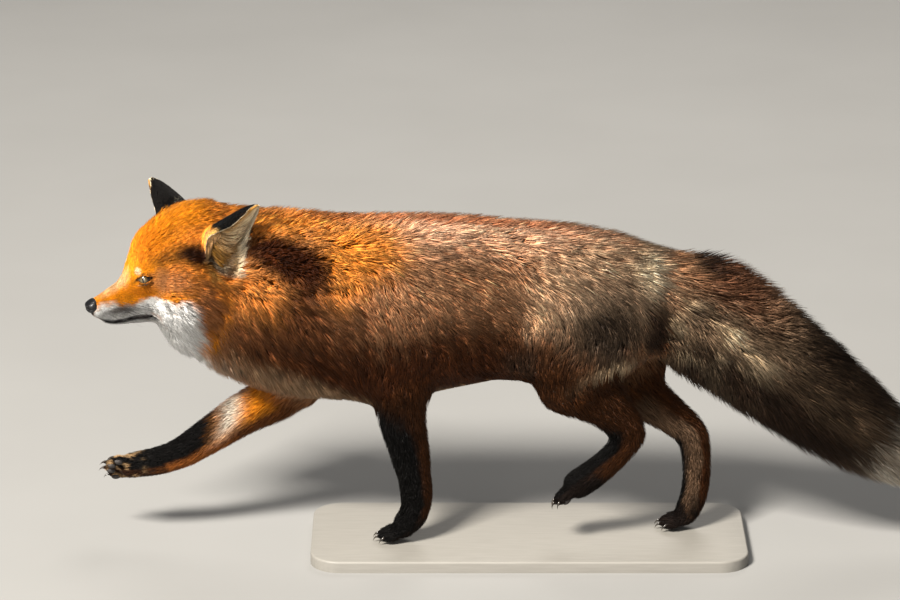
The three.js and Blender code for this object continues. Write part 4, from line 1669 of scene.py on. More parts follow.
@dataclass(frozen=True)
class EyeFinish:
    """An amber iris around an upright slit pupil, under a wet clear coat.

    The eye's own map runs from its centre: u across and v up the iris, in radians from the axis.
    """

    name: str
    pupil: float = 0.11
    pupil_height: float = 0.42
    iris: float = 0.66

    def make(self) -> Material:
        """Return the material."""
        shader = Shader(self.name)
        uv = shader.node("ShaderNodeUVMap", {"uv_map": "gaze"}, {})
        first = shader.node("ShaderNodeSeparateXYZ", {}, {0: uv})
        second = Socket(shader, first.output.node.outputs[1])
        across, upward = (first - 0.5) * RADIANS_PER_MAP, (second - 0.5) * RADIANS_PER_MAP
        out = (across * across + upward * upward).maths("POWER", 0.5)
        slit = (across * across) / self.pupil**2 + (upward * upward) / self.pupil_height**2
        inputs = {"Vector": uv, "Scale": 70.0, "Detail": 4.0, "Distortion": 0.6}
        spokes = shader.node("ShaderNodeTexNoise", {}, inputs)
        iris = shader.tones(
            out / self.iris + (spokes - 0.5) * 0.5,
            (0.0, (98, 84, 54)),
            (0.45, (80, 66, 40)),
            (0.8, (50, 37, 22)),
            (1.0, (28, 18, 11)),
        )
        ringed = shader.blend(out.ramp(self.iris * 0.86, self.iris), iris, linear((16, 10, 8)))
        colour = shader.blend(1.0 - slit.ramp(0.75, 1.1), ringed, linear((6, 5, 5)))
        wet = {"Coat_Weight": 1.0, "Coat_Roughness": 0.02, "Coat_IOR": 1.4}
        return shader.set(Base_Color=colour, Roughness=0.12, **wet)


@dataclass(frozen=True)
class BoardFinish:
    """A matt warm-white painted board with a trace of brush marks."""

    name: str = "painted_board"

    def make(self) -> Material:
        """Return the material."""
        shader = Shader(self.name)
        inputs = {"Vector": shader.place(), "Scale": (1.0, 14.0, 14.0)}
        marks = shader.noise(26.0, 6.0, shader.node("ShaderNodeMapping", {}, inputs))
        fine = shader.noise(500.0, 3.0)
        tint = shader.tones(marks, (0.3, (114, 111, 105)), (0.7, (121, 118, 112)))
        normal = shader.bump(marks + fine * 0.3, 0.12, 0.0008)
        return shader.set(Base_Color=tint, Roughness=0.6, Normal=normal)


# ---------- The coat ----------


@dataclass(frozen=True)
class Cut:
    """How the tufts of one part of the coat are cut.

    Counts are in thousands, widths and clumps in millimetres, angles in degrees. "segments" is 1 for a
    straight tuft and 2 for a bent one. "rise" is the least and the most height of a tip, as a share of the
    coat's depth. Tufts grow where the coat is longer than "shortest" and not longer than "longest".
    """

    name: str
    zones: tuple[Zone, ...]
    thousands: float
    width: float
    segments: int = 2
    rise: tuple[float, float] = (0.66, 1.08)
    clump: float = 0.0
    gather: float = 0.0
    stray: float = 5.0
    sway: float = 8.0
    roll: float = 25.0
    longest: float = 1.0
    shortest: float = 0.0
    contrast: float = 1.0


TORSO = (Zone.TRUNK, Zone.NECK)
LEG_ZONES = tuple(LIMBS)
CUTS = (
    Cut("coat_body", TORSO, 100, 1.5, clump=7.0, gather=0.6),
    Cut("coat_tail", (Zone.TAIL,), 34, 1.7, clump=8.0, gather=0.55, stray=8),
    Cut("coat_head", (Zone.HEAD,), 40, 0.8, clump=4.0, gather=0.4, shortest=10.5 * MM, contrast=0.5),
    Cut("coat_face", (Zone.HEAD,), 36, 0.7, segments=1, longest=10.5 * MM, stray=7, rise=(0.6, 1.05)),
    Cut("coat_legs", LEG_ZONES, 34, 1.1, segments=1, stray=6, rise=(0.6, 1.05), longest=20 * MM),
    Cut("coat_thighs", LEG_ZONES, 12, 1.5, shortest=20 * MM, clump=6.0, gather=0.45),
    Cut("coat_ears", tuple(EARS), 14, 0.8, segments=1, rise=(0.7, 1.2)),
)
PLUME_CUT = Cut("coat_plumes", tuple(EARS), 0, 1.0)


@dataclass(frozen=True)
class Plume:
    """A band of long hairs in an ear's cup.

    "rooted" is their roots' least and most share of the ear's height and "start" their place across it,
    "cross" how far they run towards the rear edge, and "climb" how far up the ear, at its base and more
    for each share.
    """

    count: int
    rooted: tuple[float, float]
    start: tuple[float, float]
    cross: float
    climb: tuple[float, float]
    tone: Tone


PLUMES = (
    Plume(1700, (-0.06, 0.84), (0.95, -0.1), 1.5, (0.12, 0.4), Tone.GOLD),
    Plume(600, (-0.02, 0.36), (1.0, 0.7), 0.4, (-0.18, 0.0), Tone.TAN),
)
MOST_FACES = 190_000
TUFT_PATCH = 0.003


@dataclass
class Coat:
    """All tufts of the fox, grown from its hide.

    "bend" is the share of a bent tuft's length up to its bend.
    """

    hide: Hide
    fur: Material
    seed: int = 41
    bend: float = 0.42

    def build(self) -> None:
        """Grow every cut of the coat, and the plumes."""
        for number, cut in enumerate(CUTS):
            self.grow(cut, np.random.default_rng(self.seed + number))
        self.plumes(np.random.default_rng(self.seed))

    def grow(self, cut: Cut, rng: Chance) -> None:
        """Grow the tufts of one cut.

        Args:
            cut: How they are cut.
            rng: Where its chances come from.
        """
        hide = self.hide
        roots = self.roots(cut, rng)
        order = np.argsort(hide.mix(hide.outer, roots)[:, 0])
        roots = Spots(roots.index[order], roots.weights[order])
        outer = hide.mix(hide.outer, roots)
        pull, swing, glow = self.clumps(cut, outer, roots, rng)
        count = len(outer)
        length = hide.mix(hide.length, roots) * rng.uniform(0.72, 1.15, count)
        sway = np.radians(cut.sway) * ripple(outer, 45 * MM, 21)
        angle = swing + sway + np.radians(cut.stray) * rng.normal(size=count)
        height = rng.uniform(*cut.rise, count) ** 0.8
        rows = [hide.mix(hide.skin, roots)]
        ups = [hide.mix(hide.normals, roots)]
        at, spots, middle = outer, roots, None
        ends = (0.0, self.bend, 1.0) if cut.segments == 2 else (0.0, 1.0)
        for last, end in zip(ends[:-1], ends[1:]):
            lie = self.turned(hide.mix(hide.lie, spots), hide.mix(hide.normals, spots), angle)
            drift = pull * cut.gather * (end**1.3 - last**1.3)
            spots = hide.walk(at + lie * (length * (end - last))[:, None] + drift)
            at = hide.mix(hide.outer, spots)
            low = hide.mix(hide.skin, spots)
            lift = height * (1.0 - (1.0 - end) ** 1.9)
            rows.append(low + (at - low) * lift[:, None])
            ups.append(hide.mix(hide.normals, spots))
            middle = middle or (spots, at)
        # Painted shade: tufts whose tips lie lower in the coat are darker.
        sunk = (height - cut.rise[0]) / (cut.rise[1] - cut.rise[0])
        glow = glow * (0.62 + 0.38 * sunk)
        self.meshes(cut, rows, ups, roots, self.colours(cut, *middle, outer, glow, rng), rng)

    def plumes(self, rng: Chance) -> None:
        """Lay the long hairs that fill the cup of each ear.

        Args:
            rng: Where their chances come from.
        """
        steps = np.array([0.0, 0.45, 1.0])[:, None]
        rows, shades = [], []
        for ear in EARS.values():
            for band in PLUMES:
                low = rng.uniform(*band.rooted, band.count)
                inset = rng.uniform(size=band.count) ** 1.5
                start = band.start[0] + (band.start[1] - band.start[0]) * inset
                reach = rng.uniform(0.6, 1.1, band.count)
                across = start + np.maximum(-band.cross * (1.0 - low) * reach, -0.92 - start) * steps
                climb = (band.climb[0] + band.climb[1] * low) * reach
                share = np.minimum(low + climb * steps, 0.97)
                under = rng.uniform(size=band.count)
                facing = ear.swell(share) * (3.0 * (1.0 - across**2) - 3.0 - 8.0 * under)
                rows.append([HEAD.place(ear.spot(*measures)) for measures in zip(share, across, facing)])
                # Painted shade: hairs that lie deeper in the cup, and those nearer the ear's root, are
                # darker; a chance brightness on top.
                light = (1.0 - 0.3 * under) * (0.6 + 0.4 * ease(-0.05, 0.2, low))
                light = light * np.exp(0.2 * rng.normal(size=band.count))
                aged = ease(0.9, 0.1, across[1]) * ease(0.0, 0.35, low)
                fresh, pale = band.tone.linear, Tone.EAR_CREAM.linear
                shades.append((fresh + (pale - fresh) * aged[:, None, None]) * light[:, None, None])
        rows = [np.concatenate(row) for row in zip(*rows)]
        roots = self.hide.walk(rows[0])
        ups = [self.hide.mix(self.hide.normals, roots)] * 3
        self.meshes(PLUME_CUT, rows, ups, roots, np.clip(np.concatenate(shades), 0.0, 1.0), rng)

    def roots(self, cut: Cut, rng: Chance) -> Spots:
        """Choose where the tufts of a cut grow: evenly over the outline, more where they are short.

        Args:
            cut: The cut.
            rng: Where chances come from.

        Returns:
            The roots' spots.
        """
        hide = self.hide
        length = hide.length[hide.faces].mean(axis=1)
        wanted = within(hide.zones[hide.faces[:, 0]], *cut.zones)
        wanted &= (length > cut.shortest) & (length <= cut.longest)
        weight = np.where(wanted, hide.areas() * (1.0 / np.maximum(length, 4 * MM)) ** 0.9, 0.0)
        weight *= self.bare(hide.faces)
        steps = np.cumsum(weight) / weight.sum()
        count = int(cut.thousands * 1000)
        index = np.searchsorted(steps, (np.arange(count) + rng.uniform(size=count)) / count)
        index = np.minimum(index, len(hide.faces) - 1)
        first, second = np.sqrt(rng.uniform(size=count)), rng.uniform(size=count)
        return Spots(index, np.stack([1.0 - first, first * (1.0 - second), first * second], axis=1))

    def bare(self, faces: Array) -> Array:
        """Find the faces that carry no fur: in the eyes, on lid rims, between the lips, the nose.

        Args:
            faces: Faces of the outline, by the numbers of their vertices.

        Returns:
            0 for these faces and 1 for the others.
        """
        head = HEAD.local(self.hide.outer[faces].mean(axis=1))
        furry = np.ones(len(faces))
        for side in (1, -1):
            share, distance, _ = EYE.measure(head, side)
            furry = np.where((distance < 20) & (share < 1.3), 0.0, furry)
        furry = np.where(mouth_gap(head) < 1.3, 0.0, furry)
        nose = lengths_of((head - (57, 0, -27)) / np.array(NOSE.half))
        return np.where(nose < 1.0, 0.0, furry)

    def clumps(
        self, cut: Cut, outer: Array, roots: Spots, rng: Chance
    ) -> tuple[Array, Array, Array]:
        """Gather tufts into locks.

        Args:
            cut: How they are cut.
            outer: The places of their roots on the outline.
            roots: The spots of their roots.
            rng: Where chances come from.

        Returns:
            The sideways pull of each tuft towards its lock's middle, its lock's swing in radians and its
            brightness.
        """
        if not cut.clump:
            return np.zeros_like(outer), np.zeros(len(outer)), np.ones(len(outer))
        owned = self.hide.areas()[np.unique(roots.index)].sum()
        centres = rng.choice(len(outer), int(owned / (cut.clump * MM) ** 2) + 1, replace=False)
        tree = KDTree(len(centres))
        for number, centre in enumerate(centres):
            tree.insert(outer[centre], number)
        tree.balance()
        near = np.array([tree.find(place)[1] for place in outer.tolist()])
        offset = outer[centres][near] - outer
        lie = self.hide.mix(self.hide.lie, roots)
        offset -= lie * (offset * lie).sum(axis=1, keepdims=True)
        swing = np.radians(7.0) * rng.normal(size=len(centres))[near]
        glow = np.exp(0.24 * cut.contrast * rng.normal(size=len(centres)))[near]
        return offset, swing, glow

    @staticmethod
    def turned(lie: Array, normal: Array, angle: Array) -> Array:
        """Turn directions about the surface's normal."""
        lie = unit(lie - normal * (lie * normal).sum(axis=1, keepdims=True))
        across = np.cross(normal, lie)
        return lie * np.cos(angle)[:, None] + across * np.sin(angle)[:, None]

    def colours(
        self, cut: Cut, spots: Spots, at: Array, outer: Array, glow: Array, rng: Chance
    ) -> Array:
        """Colour tufts by the markings at their middles, with chance darks and lights among them.

        Args:
            cut: How they are cut.
            spots: The spots of their middles.
            at: The places of their middles on the outline.
            outer: The places of their roots on the outline.
            glow: Their brightness, with painted shade on the tufts that lie lower.
            rng: Where chances come from.

        Returns:
            The root, shaft and tip colours of each.
        """
        zones = self.hide.zones[self.hide.faces[spots.index, spots.weights.argmax(axis=1)]]
        shades = shades_at(at, zones)
        chance = 0.18 * rng.normal(size=len(outer)) + 0.12 * ripple(outer, 9 * MM, 33)
        bright = glow * np.exp(cut.contrast * chance)
        shades = shades * bright[:, None, None]
        ticked = rng.uniform(size=len(outer)) < 0.1
        shades[ticked, 2] *= 0.35
        return np.clip(shades, 0.0, 1.0)

    def meshes(
        self,
        cut: Cut,
        rows: list[Array],
        ups: list[Array],
        roots: Spots,
        colours: Array,
        rng: Chance,
    ) -> None:
        """Make closed three-sided tufts, in one or more pieces.

        A straight tuft runs from a ring at its root to a tip, and a bent one from a point through a ring.

        Args:
            cut: How they are cut.
            rows: The middles of the tufts from root to tip.
            ups: The surface's normals there.
            roots: The spots of the roots.
            colours: The three colours of each tuft.
            rng: Where chances come from.
        """
        count = len(roots.index)
        width = cut.width * MM * rng.uniform(0.75, 1.2, count)
        roll = np.radians(cut.roll) * rng.normal(size=count)[:, None]
        bent = cut.segments == 2
        ring = 1 if bent else 0
        ahead = unit(rows[-1] - rows[0])
        side = unit(np.cross(ahead, ups[ring]))
        up = np.cross(side, ahead)
        wide = side * np.cos(roll) + up * np.sin(roll)
        high = up * np.cos(roll) - side * np.sin(roll)
        half = (width / 2)[:, None]
        ring_places = [rows[ring] - wide * half, rows[ring] + wide * half, rows[ring] + high * half * 0.9]
        verts = np.stack([*rows[:ring], *ring_places, rows[-1]], axis=1)
        faces = self.tuft_faces(bent)
        tints = self.tints(colours, bent)
        base = (self.hide.corners[roots.index] * roots.weights[:, :, None]).sum(axis=1)
        spots = base[:, None, :] + self.map_offsets(bent)[None]
        most = MOST_FACES // len(faces)
        for start in range(0, count, most):
            part = slice(start, min(start + most, count))
            name = cut.name if count <= most else f"{cut.name}_{start // most + 1}"
            self.mesh(name, verts[part], faces, tints[part], spots[part])

    @staticmethod
    def tuft_faces(bent: bool) -> Array:
        """Return the triangles of one closed tuft."""
        if bent:
            back = [(1 + k, 1 + (k + 1) % 3, 0) for k in range(3)]
            return np.array(back + [(1 + k, 4, 1 + (k + 1) % 3) for k in range(3)])
        return np.array([(0, 1, 2)] + [(k, 3, (k + 1) % 3) for k in range(3)])

    @staticmethod
    def tints(colours: Array, bent: bool) -> Array:
        """Return the colour of each vertex of each tuft."""
        root, shaft, tip = (colours[:, k] for k in range(3))
        if bent:
            return np.stack([root] + [0.2 * root + 0.8 * shaft] * 3 + [tip], axis=1)
        return np.stack([0.35 * root + 0.65 * shaft] * 3 + [tip], axis=1)

    @staticmethod
    def map_offsets(bent: bool) -> Array:
        """Return the places of a tuft's vertices in its own small patch of the map."""
        half = TUFT_PATCH / 2
        if bent:
            return np.array([(0, -half), (-half, 0), (half, 0), (0, -half / 3), (0, half)])
        return np.array([(-half, -half), (half, -half), (0, -half / 2), (0, half)])

    def mesh(self, name: str, verts: Array, faces: Array, tints: Array, spots: Array) -> None:
        """Make one piece of the coat.

        Args:
            name: The piece's name.
            verts: The vertices, tuft by tuft.
            faces: The triangles of one tuft.
            tints: The vertices' colours.
            spots: The vertices' places on the map.
        """
        count, per = verts.shape[:2]
        mesh = bpy.data.meshes.new(name)
        mesh.vertices.add(count * per)
        mesh.vertices.foreach_set("co", verts.ravel())
        loops = (faces[None] + (np.arange(count) * per)[:, None, None]).reshape(-1)
        mesh.loops.add(len(loops))
        mesh.loops.foreach_set("vertex_index", loops)
        mesh.polygons.add(len(loops) // 3)
        mesh.polygons.foreach_set("loop_start", np.arange(0, len(loops), 3))
        mesh.update(calc_edges=True)
        mesh.validate()
        mesh.shade_smooth()
        paint(mesh, tints.reshape(-1, 3))
        mesh.uv_layers.new(name=MAP_NAME).data.foreach_set("uv", spots.reshape(-1, 2)[loops].ravel())
        finished(linked(mesh), name, self.fur)


def paint(mesh: bpy.types.Mesh, colours: Array) -> None:
    """Give a mesh its coat colours, one row for each vertex."""
    layer = mesh.color_attributes.new(name=COLOURS_NAME, type="FLOAT_COLOR", domain="POINT")
    full = np.ones((len(colours), 4))
    full[:, :3] = colours
    layer.data.foreach_set("color", full.ravel())


# ---------- The head's own pieces ----------


@dataclass(frozen=True)
class Eye:
    """An eyeball with its cornea; "side" is 1 for the left one and -1 for the right."""

    name: str
    side: int
    gaze: Triple
    bulge: float = 0.7
    rings: int = 40
    segments: int = 64

    def build(self) -> Piece:
        """Make the eye."""
        ball = bpy.ops.mesh.primitive_uv_sphere_add
        piece = added(ball, segments=self.segments, ring_count=self.rings, radius=EYE.radius * MM)
        places = places_of(piece)
        angle = np.arccos(np.clip(unit(places)[:, 2], -1, 1))
        places *= (1.0 + self.bulge / EYE.radius * fade(0.25, 0.75, angle))[:, None]
        self.map_gaze(piece, places, angle)
        out = HEAD.turn(unit(np.array(self.gaze)))
        up = HEAD.turn(np.array([0.0, 0.0, 1.0]))
        up = unit(up - out * (up @ out))
        axes = np.array([np.cross(up, out), up, out])
        set_places(piece, places @ axes + HEAD.place(sided(EYE.at, self.side)))
        bpy.ops.object.shade_smooth()
        made = finished(piece, self.name, EyeFinish(self.name + "_iris").make())
        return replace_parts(made, self.name)

    @staticmethod
    def map_gaze(piece: Piece, places: Array, angle: Array) -> None:
        """Give the eye a map whose middle is the pupil, by each vertex's angle from the axis.

        Args:
            piece: The eyeball.
            places: Its vertices, with z along the gaze.
            angle: Each vertex's angle from the axis, in radians.
        """
        around = np.arctan2(places[:, 1], places[:, 0])
        ways = np.stack([np.cos(around), np.sin(around)], axis=1)
        spots = 0.5 + ways * (angle / RADIANS_PER_MAP)[:, None]
        loops = fetched(piece.data.loops, "vertex_index", 1, int)[:, 0]
        piece.data.uv_layers.new(name="gaze").data.foreach_set("uv", spots[loops].ravel())


@dataclass(frozen=True)
class Nose:
    """The nose pad: a rounded pad with comma nostrils and a groove below."""

    at: Triple = (56.5, 0.0, -27.0)
    half: Triple = (8.4, 10.4, 8.8)
    nostril: Triple = (63.0, 4.8, -27.5)

    def build(self) -> Piece:
        """Make the nose."""
        piece = added(bpy.ops.mesh.primitive_ico_sphere_add, subdivisions=6, radius=1.0)
        ball = places_of(piece)
        square = np.sign(ball) * np.abs(ball) ** 0.9
        places = square * np.array(self.half)
        top = ease(0.2, 1.0, ball[:, 2])
        places[:, 2] -= 2.8 * top * ease(-0.5, 0.9, ball[:, 0])
        places[:, 1] *= 1.0 - 0.22 * ease(0.1, 1.0, -ball[:, 2])
        places += np.array(self.at)
        for side in (1, -1):
            places = self.pressed(places, sided(self.nostril, side), (4.0, 2.3, 2.0), 4.2)
            slot = sided(self.nostril, side * 1.75) - (2.6, 0, 1.4)
            places = self.pressed(places, slot, (3.4, 1.9, 1.1), 2.4)
        groove = np.exp(-((places[:, 1] / 0.9) ** 2)) * ease(-27.0, -30.0, places[:, 2])
        places[:, 0] -= 1.2 * groove
        set_places(piece, HEAD.place(places))
        bpy.ops.object.shade_smooth()
        made = finished(piece, "nose_pad", NoseFinish().make())
        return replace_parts(made, "nose")

    @staticmethod
    def pressed(places: Array, at: Array, size: Triple, depth: float) -> Array:
        """Press a soft pit back into the pad.

        Args:
            places: The pad's vertices.
            at: The pit's middle.
            size: Its half sizes.
            depth: Its depth.

        Returns:
            The moved vertices.
        """
        near = np.exp(-((((places - at) / np.array(size)) ** 2).sum(axis=1)))
        return places - np.outer(near * depth, (1.0, 0.0, 0.0))


NOSE = Nose()


@dataclass
class Whiskers:
    """Tapering bristles on the lips, over the eyes and on the cheeks."""

    hide: Hide
    radius: float = 0.22
    rings: int = 8
    sides: int = 4
    seed: int = 7

    def build(self) -> None:
        """Make all whiskers as one piece."""
        rng = np.random.default_rng(self.seed)
        bristles = []
        for side in (1, -1):
            for row in range(4):
                for place in range(5):
                    at = (40.0 - 6.5 * place + 1.5 * row, 16.0, -26.0 - 4.0 * row)
                    length = 24.0 + 9.0 * place + rng.uniform(-4, 4)
                    way = (-0.75 - 0.06 * place, 0.62, -0.12 - 0.16 * row)
                    bristles.append(self.bristle(at, way, length, side, rng))
            for place in range(3):
                at = (-4.0 - 5.0 * place, 26.0, 14.0)
                bristles.append(self.bristle(at, (-0.75, 0.5, 0.6), 26.0 + 5 * place, side, rng))
            bristles.append(self.bristle((-20.0, 40.0, -44.0), (-0.8, 0.6, -0.4), 34.0, side, rng))
        one = self.faces()
        starts = range(0, len(bristles) * len(bristles[0]), len(bristles[0]))
        faces = [tuple(start + i for i in face) for start in starts for face in one]
        mesh = bpy.data.meshes.new("whiskers")
        mesh.from_pydata(np.concatenate(bristles).tolist(), [], faces)
        mesh.shade_smooth()
        finished(linked(mesh), "whiskers", WhiskerFinish().make())

    def bristle(self, at: Triple, way: Triple, length: float, side: int, rng: Chance) -> Array:
        """Shape one bristle.

        Args:
            at: A place near its root, on the left of the head.
            way: The way that it points.
            length: Its length in millimetres.
            side: 1 for the left and -1 for the right.
            rng: Where chances come from.

        Returns:
            Its vertices, ring by ring and then the tip.
        """
        spots = self.hide.walk(HEAD.place(sided(at, side))[None])
        root = self.hide.mix(self.hide.skin, spots)[0]
        way = HEAD.turn(unit(sided(way, side) + 0.12 * rng.normal(size=3)))
        sag = HEAD.turn(np.array([-0.5, 0.0, -0.5])) * rng.uniform(0.1, 0.3)
        shares = np.linspace(0, 1, self.rings + 1)
        middles = root + (way[None] * shares[:, None] + sag[None] * (shares**2)[:, None]) * length * MM
        ahead = unit(way + sag)
        wide = unit(np.cross(ahead, [0.0, 0.0, 1.0]))
        high = np.cross(wide, ahead)
        verts = []
        for middle, share in zip(middles[:-1], shares):
            radius = self.radius * MM * (1.0 - 0.85 * share)
            for k in range(self.sides):
                angle = 2 * pi * k / self.sides
                verts.append(middle + (wide * cos(angle) + high * sin(angle)) * radius)
        return np.array([*verts, middles[-1]])

    def faces(self) -> list[tuple[int, ...]]:
        """Return the faces of one bristle."""
        sides, last = self.sides, (self.rings - 1) * self.sides
        faces = [tuple(range(sides))]
        for start in range(0, last, sides):
            for k in range(sides):
                a, b = start + k, start + (k + 1) % sides
                faces.append((a, a + sides, b + sides, b))
        return faces + [(last + k, last + sides, last + (k + 1) % sides) for k in range(sides)]


# ---------- Paws ----------


@dataclass(frozen=True)
class Toes:
    """The four toes of a paw: the middle of their roots, the way they point and how they spread."""

    name: str
    at: Triple
    forward: Triple
    roll: float
    spread: float
    curl: float
    toe: float = 13.0

    def axes(self) -> Array:
        """Return forward, side and up as rows."""
        forward = unit(np.array(self.forward))
        turn = Matrix.Rotation(radians(self.roll), 3, Vector(forward))
        side = np.array(turn @ Vector((0, 1, 0)))
        return np.array([forward, side, np.cross(side, forward)])

    def lanes(self) -> list[tuple[Array, Array, Array]]:
        """Return each toe's middle, its forward and its up, in millimetres."""
        forward, side, up = self.axes()
        found = []
        for lane in (-1.5, -0.5, 0.5, 1.5):
            ahead = unit(forward + side * lane * 0.13 * self.spread - up * self.curl)
            middle = np.array(self.at) + side * lane * 10 * self.spread
            middle += forward * (6 if abs(lane) > 1 else 13) - up * 1.5
            found.append((middle, ahead, unit(up - ahead * (up @ ahead))))
        return found


TOES = (
    Toes("forepaw_left", (-158, -28, 26), (-1, 0, -0.12), 0, 1.0, 0.12),
    Toes("forepaw_right", (-486, 26, 88), (-0.95, 0, 0.2), 48, 1.25, 0.2),
    Toes("hindpaw_left", (48, -30, 78), (-0.86, 0, -0.5), 0, 0.9, 0.2),
    Toes("hindpaw_right", (180, 14, 26), (-1, 0, -0.12), 0, 1.0, 0.12),
)


@dataclass(frozen=True)
class Claws:
    """The claws of one paw, each a curved horn."""

    toes: Toes
    radius: float = 1.6
    length: float = 10.0
    droop: float = 0.5

    def build(self, material: Material) -> Piece:
        """Make the paw's claws as one piece.

        Args:
            material: Their horn.

        Returns:
            The piece.
        """
        pieces = []
        for middle, ahead, up in self.toes.lanes():
            cone = bpy.ops.mesh.primitive_cone_add
            piece = added(cone, vertices=12, radius1=1.0, radius2=0.12, depth=1.0, location=(0, 0, 0.5))
            bpy.ops.object.transform_apply(location=True)
            bpy.ops.object.mode_set(mode="EDIT")
            bpy.ops.mesh.select_all(action="SELECT")
            bpy.ops.mesh.subdivide(number_cuts=3)
            bpy.ops.object.mode_set(mode="OBJECT")
            share = places_of(piece)
            bend = share[:, 2]
            reach = self.length * (bend - 0.2 * bend**3)
            drop = self.length * self.droop * bend**2
            root = middle + ahead * (self.toes.toe - 4.0) + up * 1.2
            taper = self.radius * (1.0 + 0.25 * (1 - bend))
            side = np.cross(up, ahead)
            places = root + ahead * reach[:, None] - up * drop[:, None]
            places = places + side * (share[:, 0] * taper * 0.8)[:, None]
            places = places + up * (share[:, 1] * taper)[:, None]
            set_places(piece, places * MM)
            bpy.ops.object.shade_smooth()
            pieces.append(piece)
        return finished(joined(pieces), f"claws_{self.toes.name}", material)


@dataclass(frozen=True)
class Pads:
    """The pads under a lifted paw: one to a toe and a larger one behind them."""

    toes: Toes

    def build(self, material: Material) -> Piece:
        """Make the paw's pads as one piece.

        Args:
            material: Their leather.

        Returns:
            The piece.
        """
        forward, _, up = self.toes.axes()
        heel = np.array(self.toes.at) - forward * 3.5 - up * 5.6
        pieces = [self.pad(heel, forward, up, (8.0, 9.5, 4.2), 0.22)]
        for middle, ahead, top in self.toes.lanes():
            pieces.append(self.pad(middle + ahead * 2.0 - top * 3.6, ahead, top, (5.6, 3.8, 3.4), 0.0))
        return finished(joined(pieces), f"pads_{self.toes.name}", material)

    @staticmethod
    def pad(at: Array, ahead: Array, up: Array, half: Triple, cleft: float) -> Piece:
        """Make one rounded pad.

        Args:
            at: Its middle.
            ahead: The way that it points.
            up: The way into the paw.
            half: Its half sizes.
            cleft: The depth of the cleft behind, as a share of its half length.

        Returns:
            The pad.
        """
        piece = added(bpy.ops.mesh.primitive_ico_sphere_add, subdivisions=4, radius=1.0)
        ball = places_of(piece)
        ball[:, 0] += cleft * np.exp(-((ball[:, 1] / 0.35) ** 2)) * ease(0.0, -1.0, ball[:, 0])
        ball[:, 1] *= 1.0 - 0.25 * ease(0.0, 1.0, ball[:, 0])
        places = at + (ball * np.array(half)) @ np.array([ahead, np.cross(up, ahead), up])
        set_places(piece, places * MM)
        bpy.ops.object.shade_smooth()
        return piece


# ---------- The stand and the studio ----------


@dataclass(frozen=True)
class StandBase:
    """The display base: a painted board with round corners and eased edges."""

    node: str = "stand_base"
    corner: float = 0.036
    edge: float = 0.0025

    def build(self) -> Piece:
        """Make the base."""
        low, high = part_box(self.node)
        cube = bpy.ops.mesh.primitive_cube_add
        piece = added(cube, size=1.0, location=(low + high) / 2, scale=high - low)
        bpy.ops.object.transform_apply(location=True, rotation=True, scale=True)
        tall, top = (high.z - low.z) / 2, high.z - 1.0 * MM
        self.bevel(piece, lambda edge: abs(edge.verts[0].co.z - edge.verts[1].co.z) > tall, self.corner, 12)
        self.bevel(piece, lambda edge: all(vertex.co.z > top for vertex in edge.verts), self.edge, 4)
        select_only(piece)
        bpy.ops.object.shade_smooth_by_angle(angle=radians(35))
        made = finished(piece, "stand_board", BoardFinish().make())
        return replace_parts(made, self.node)

    @staticmethod
    def bevel(piece: Piece, wanted: Callable[..., bool], width: float, segments: int) -> None:
        """Bevel the edges that pass a test.

        Args:
            piece: The board.
            wanted: The test.
            width: The bevel's width.
            segments: Its steps.
        """
        select_only(piece)
        bpy.ops.object.mode_set(mode="EDIT")
        bpy.ops.mesh.select_mode(type="EDGE")
        bpy.ops.mesh.select_all(action="DESELECT")
        shape = bmesh.from_edit_mesh(piece.data)
        for edge in shape.edges:
            edge.select_set(wanted(edge))
        bmesh.update_edit_mesh(piece.data)
        bpy.ops.mesh.bevel(offset=width, segments=segments, affect="EDGES")
        bpy.ops.object.mode_set(mode="OBJECT")


@dataclass(frozen=True)
class Lamp:
    """One soft lamp."""

    name: str
    at: Triple
    size: float
    power: float
    colour: Triple = (1.0, 1.0, 1.0)


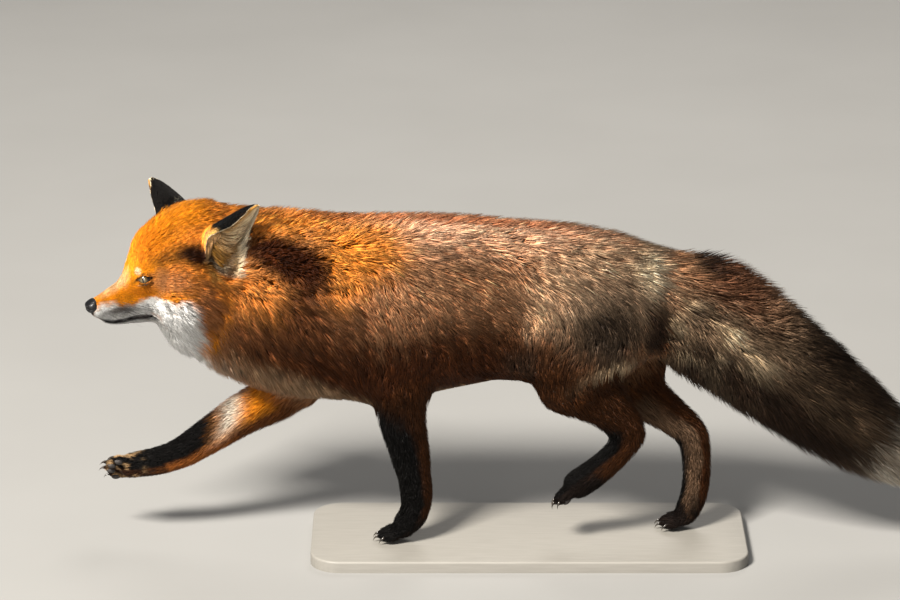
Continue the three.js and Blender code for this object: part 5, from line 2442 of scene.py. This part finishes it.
@dataclass(frozen=True)
class Studio:
    """The floor, the camera and the lamps."""

    target: Triple = (-0.0944, 0.0, 0.3065)
    distance: float = 5.0
    elevation: float = 18.0
    lens: float = 169.5
    floor: float = 14.0
    lamps: tuple[Lamp, ...] = (
        Lamp("key", (-2.9, -3.9, 5.3), 1.6, 1850.0, (1.0, 0.95, 0.87)),
        Lamp("fill", (-1.0, -4.4, 0.9), 2.2, 92.0, (1.0, 0.97, 0.93)),
        Lamp("back", (0.6, 2.6, 2.6), 1.6, 60.0, (1.0, 0.96, 0.9)),
    )

    def build(self) -> None:
        """Set up the floor, camera, lamps and surround."""
        self.add_floor()
        self.add_camera()
        for lamp in self.lamps:
            self.add_lamp(lamp)
        world = bpy.data.worlds.new("surround")
        bpy.context.scene.world = world
        world.use_nodes = True
        backdrop = world.node_tree.nodes["Background"]
        backdrop.inputs["Color"].default_value = (0.96, 0.97, 1.0, 1.0)
        backdrop.inputs["Strength"].default_value = 0.17
        bpy.context.scene.view_settings.view_transform = "Standard"

    def add_floor(self) -> None:
        """Lay the pale floor."""
        floor = added(bpy.ops.mesh.primitive_plane_add, size=self.floor)
        floor.name = "floor"
        shader = Shader("pale_floor")
        stops = [(0.3, (0.2, 0.198, 0.192)), (0.7, (0.21, 0.208, 0.202))]
        tint = shader.node("ShaderNodeValToRGB", {"stops": stops}, {"Fac": shader.noise(3.0)})
        floor.data.materials.append(shader.set(Base_Color=tint, Roughness=0.85))

    def add_camera(self) -> None:
        """Place the camera, looking along +Y and down on the fox."""
        tilt = radians(self.elevation)
        target = Vector(self.target)
        back = Vector((0.0, -cos(tilt), sin(tilt)))
        place = target + back * self.distance
        bpy.ops.object.camera_add(location=place, rotation=(pi / 2 - tilt, 0.0, 0.0))
        camera = bpy.context.object
        camera.data.lens = self.lens
        camera.data.sensor_width = 36.0
        bpy.context.scene.camera = camera

    def add_lamp(self, lamp: Lamp) -> None:
        """Hang one square lamp that faces the fox.

        Args:
            lamp: The lamp.
        """
        bpy.ops.object.light_add(type="AREA", location=lamp.at)
        light = bpy.context.object
        light.name = lamp.name
        light.data.size = lamp.size
        light.data.energy = lamp.power
        light.data.color = lamp.colour
        ahead = Vector(self.target) - Vector(lamp.at)
        light.rotation_euler = ahead.to_track_quat("-Z", "Y").to_euler()


# ---------- The fox ----------


@dataclass
class Fox:
    """The whole animal, built in order from the skin outwards."""

    def build(self) -> None:
        """Make every piece of the fox."""
        hide = Hide()
        hide.build()
        self.dress(hide)
        Coat(hide, FurFinish().make()).build()
        Eye("eye_left", 1, (0.48, 0.86, 0.14)).build()
        Eye("eye_right", -1, (0.8, -0.58, 0.06)).build()
        NOSE.build()
        Whiskers(hide).build()
        horn, leather = ClawFinish().make(), PadFinish().make()
        for toes in TOES:
            Claws(toes).build(horn)
            if toes.name in ("forepaw_right", "hindpaw_left"):
                Pads(toes).build(leather)

    @staticmethod
    def dress(hide: Hide) -> None:
        """Paint the skin and let it stand for the solids of flesh.

        Args:
            hide: The skin and its outline.
        """
        shades = shades_at(hide.outer, hide.zones)
        short = fade(6 * MM, 22 * MM, hide.length)
        under = 0.55 * shades[:, 0] + 0.45 * shades[:, 1]
        tint = under + (0.8 * shades[:, 1] + 0.1 * shades[:, 2] - under) * short[:, None]
        paint(hide.piece.data, tint)
        hide.piece.data.shade_smooth()
        skin = finished(hide.piece, "hide", SkinFinish().make())
        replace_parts(skin, *SKIN_NODES)


def main() -> None:
    """Build the studio, the stand and the fox."""
    logging.basicConfig(level=logging.INFO, format="%(message)s")
    Studio().build()
    StandBase().build()
    Fox().build()


if __name__ == "__main__":
    main()
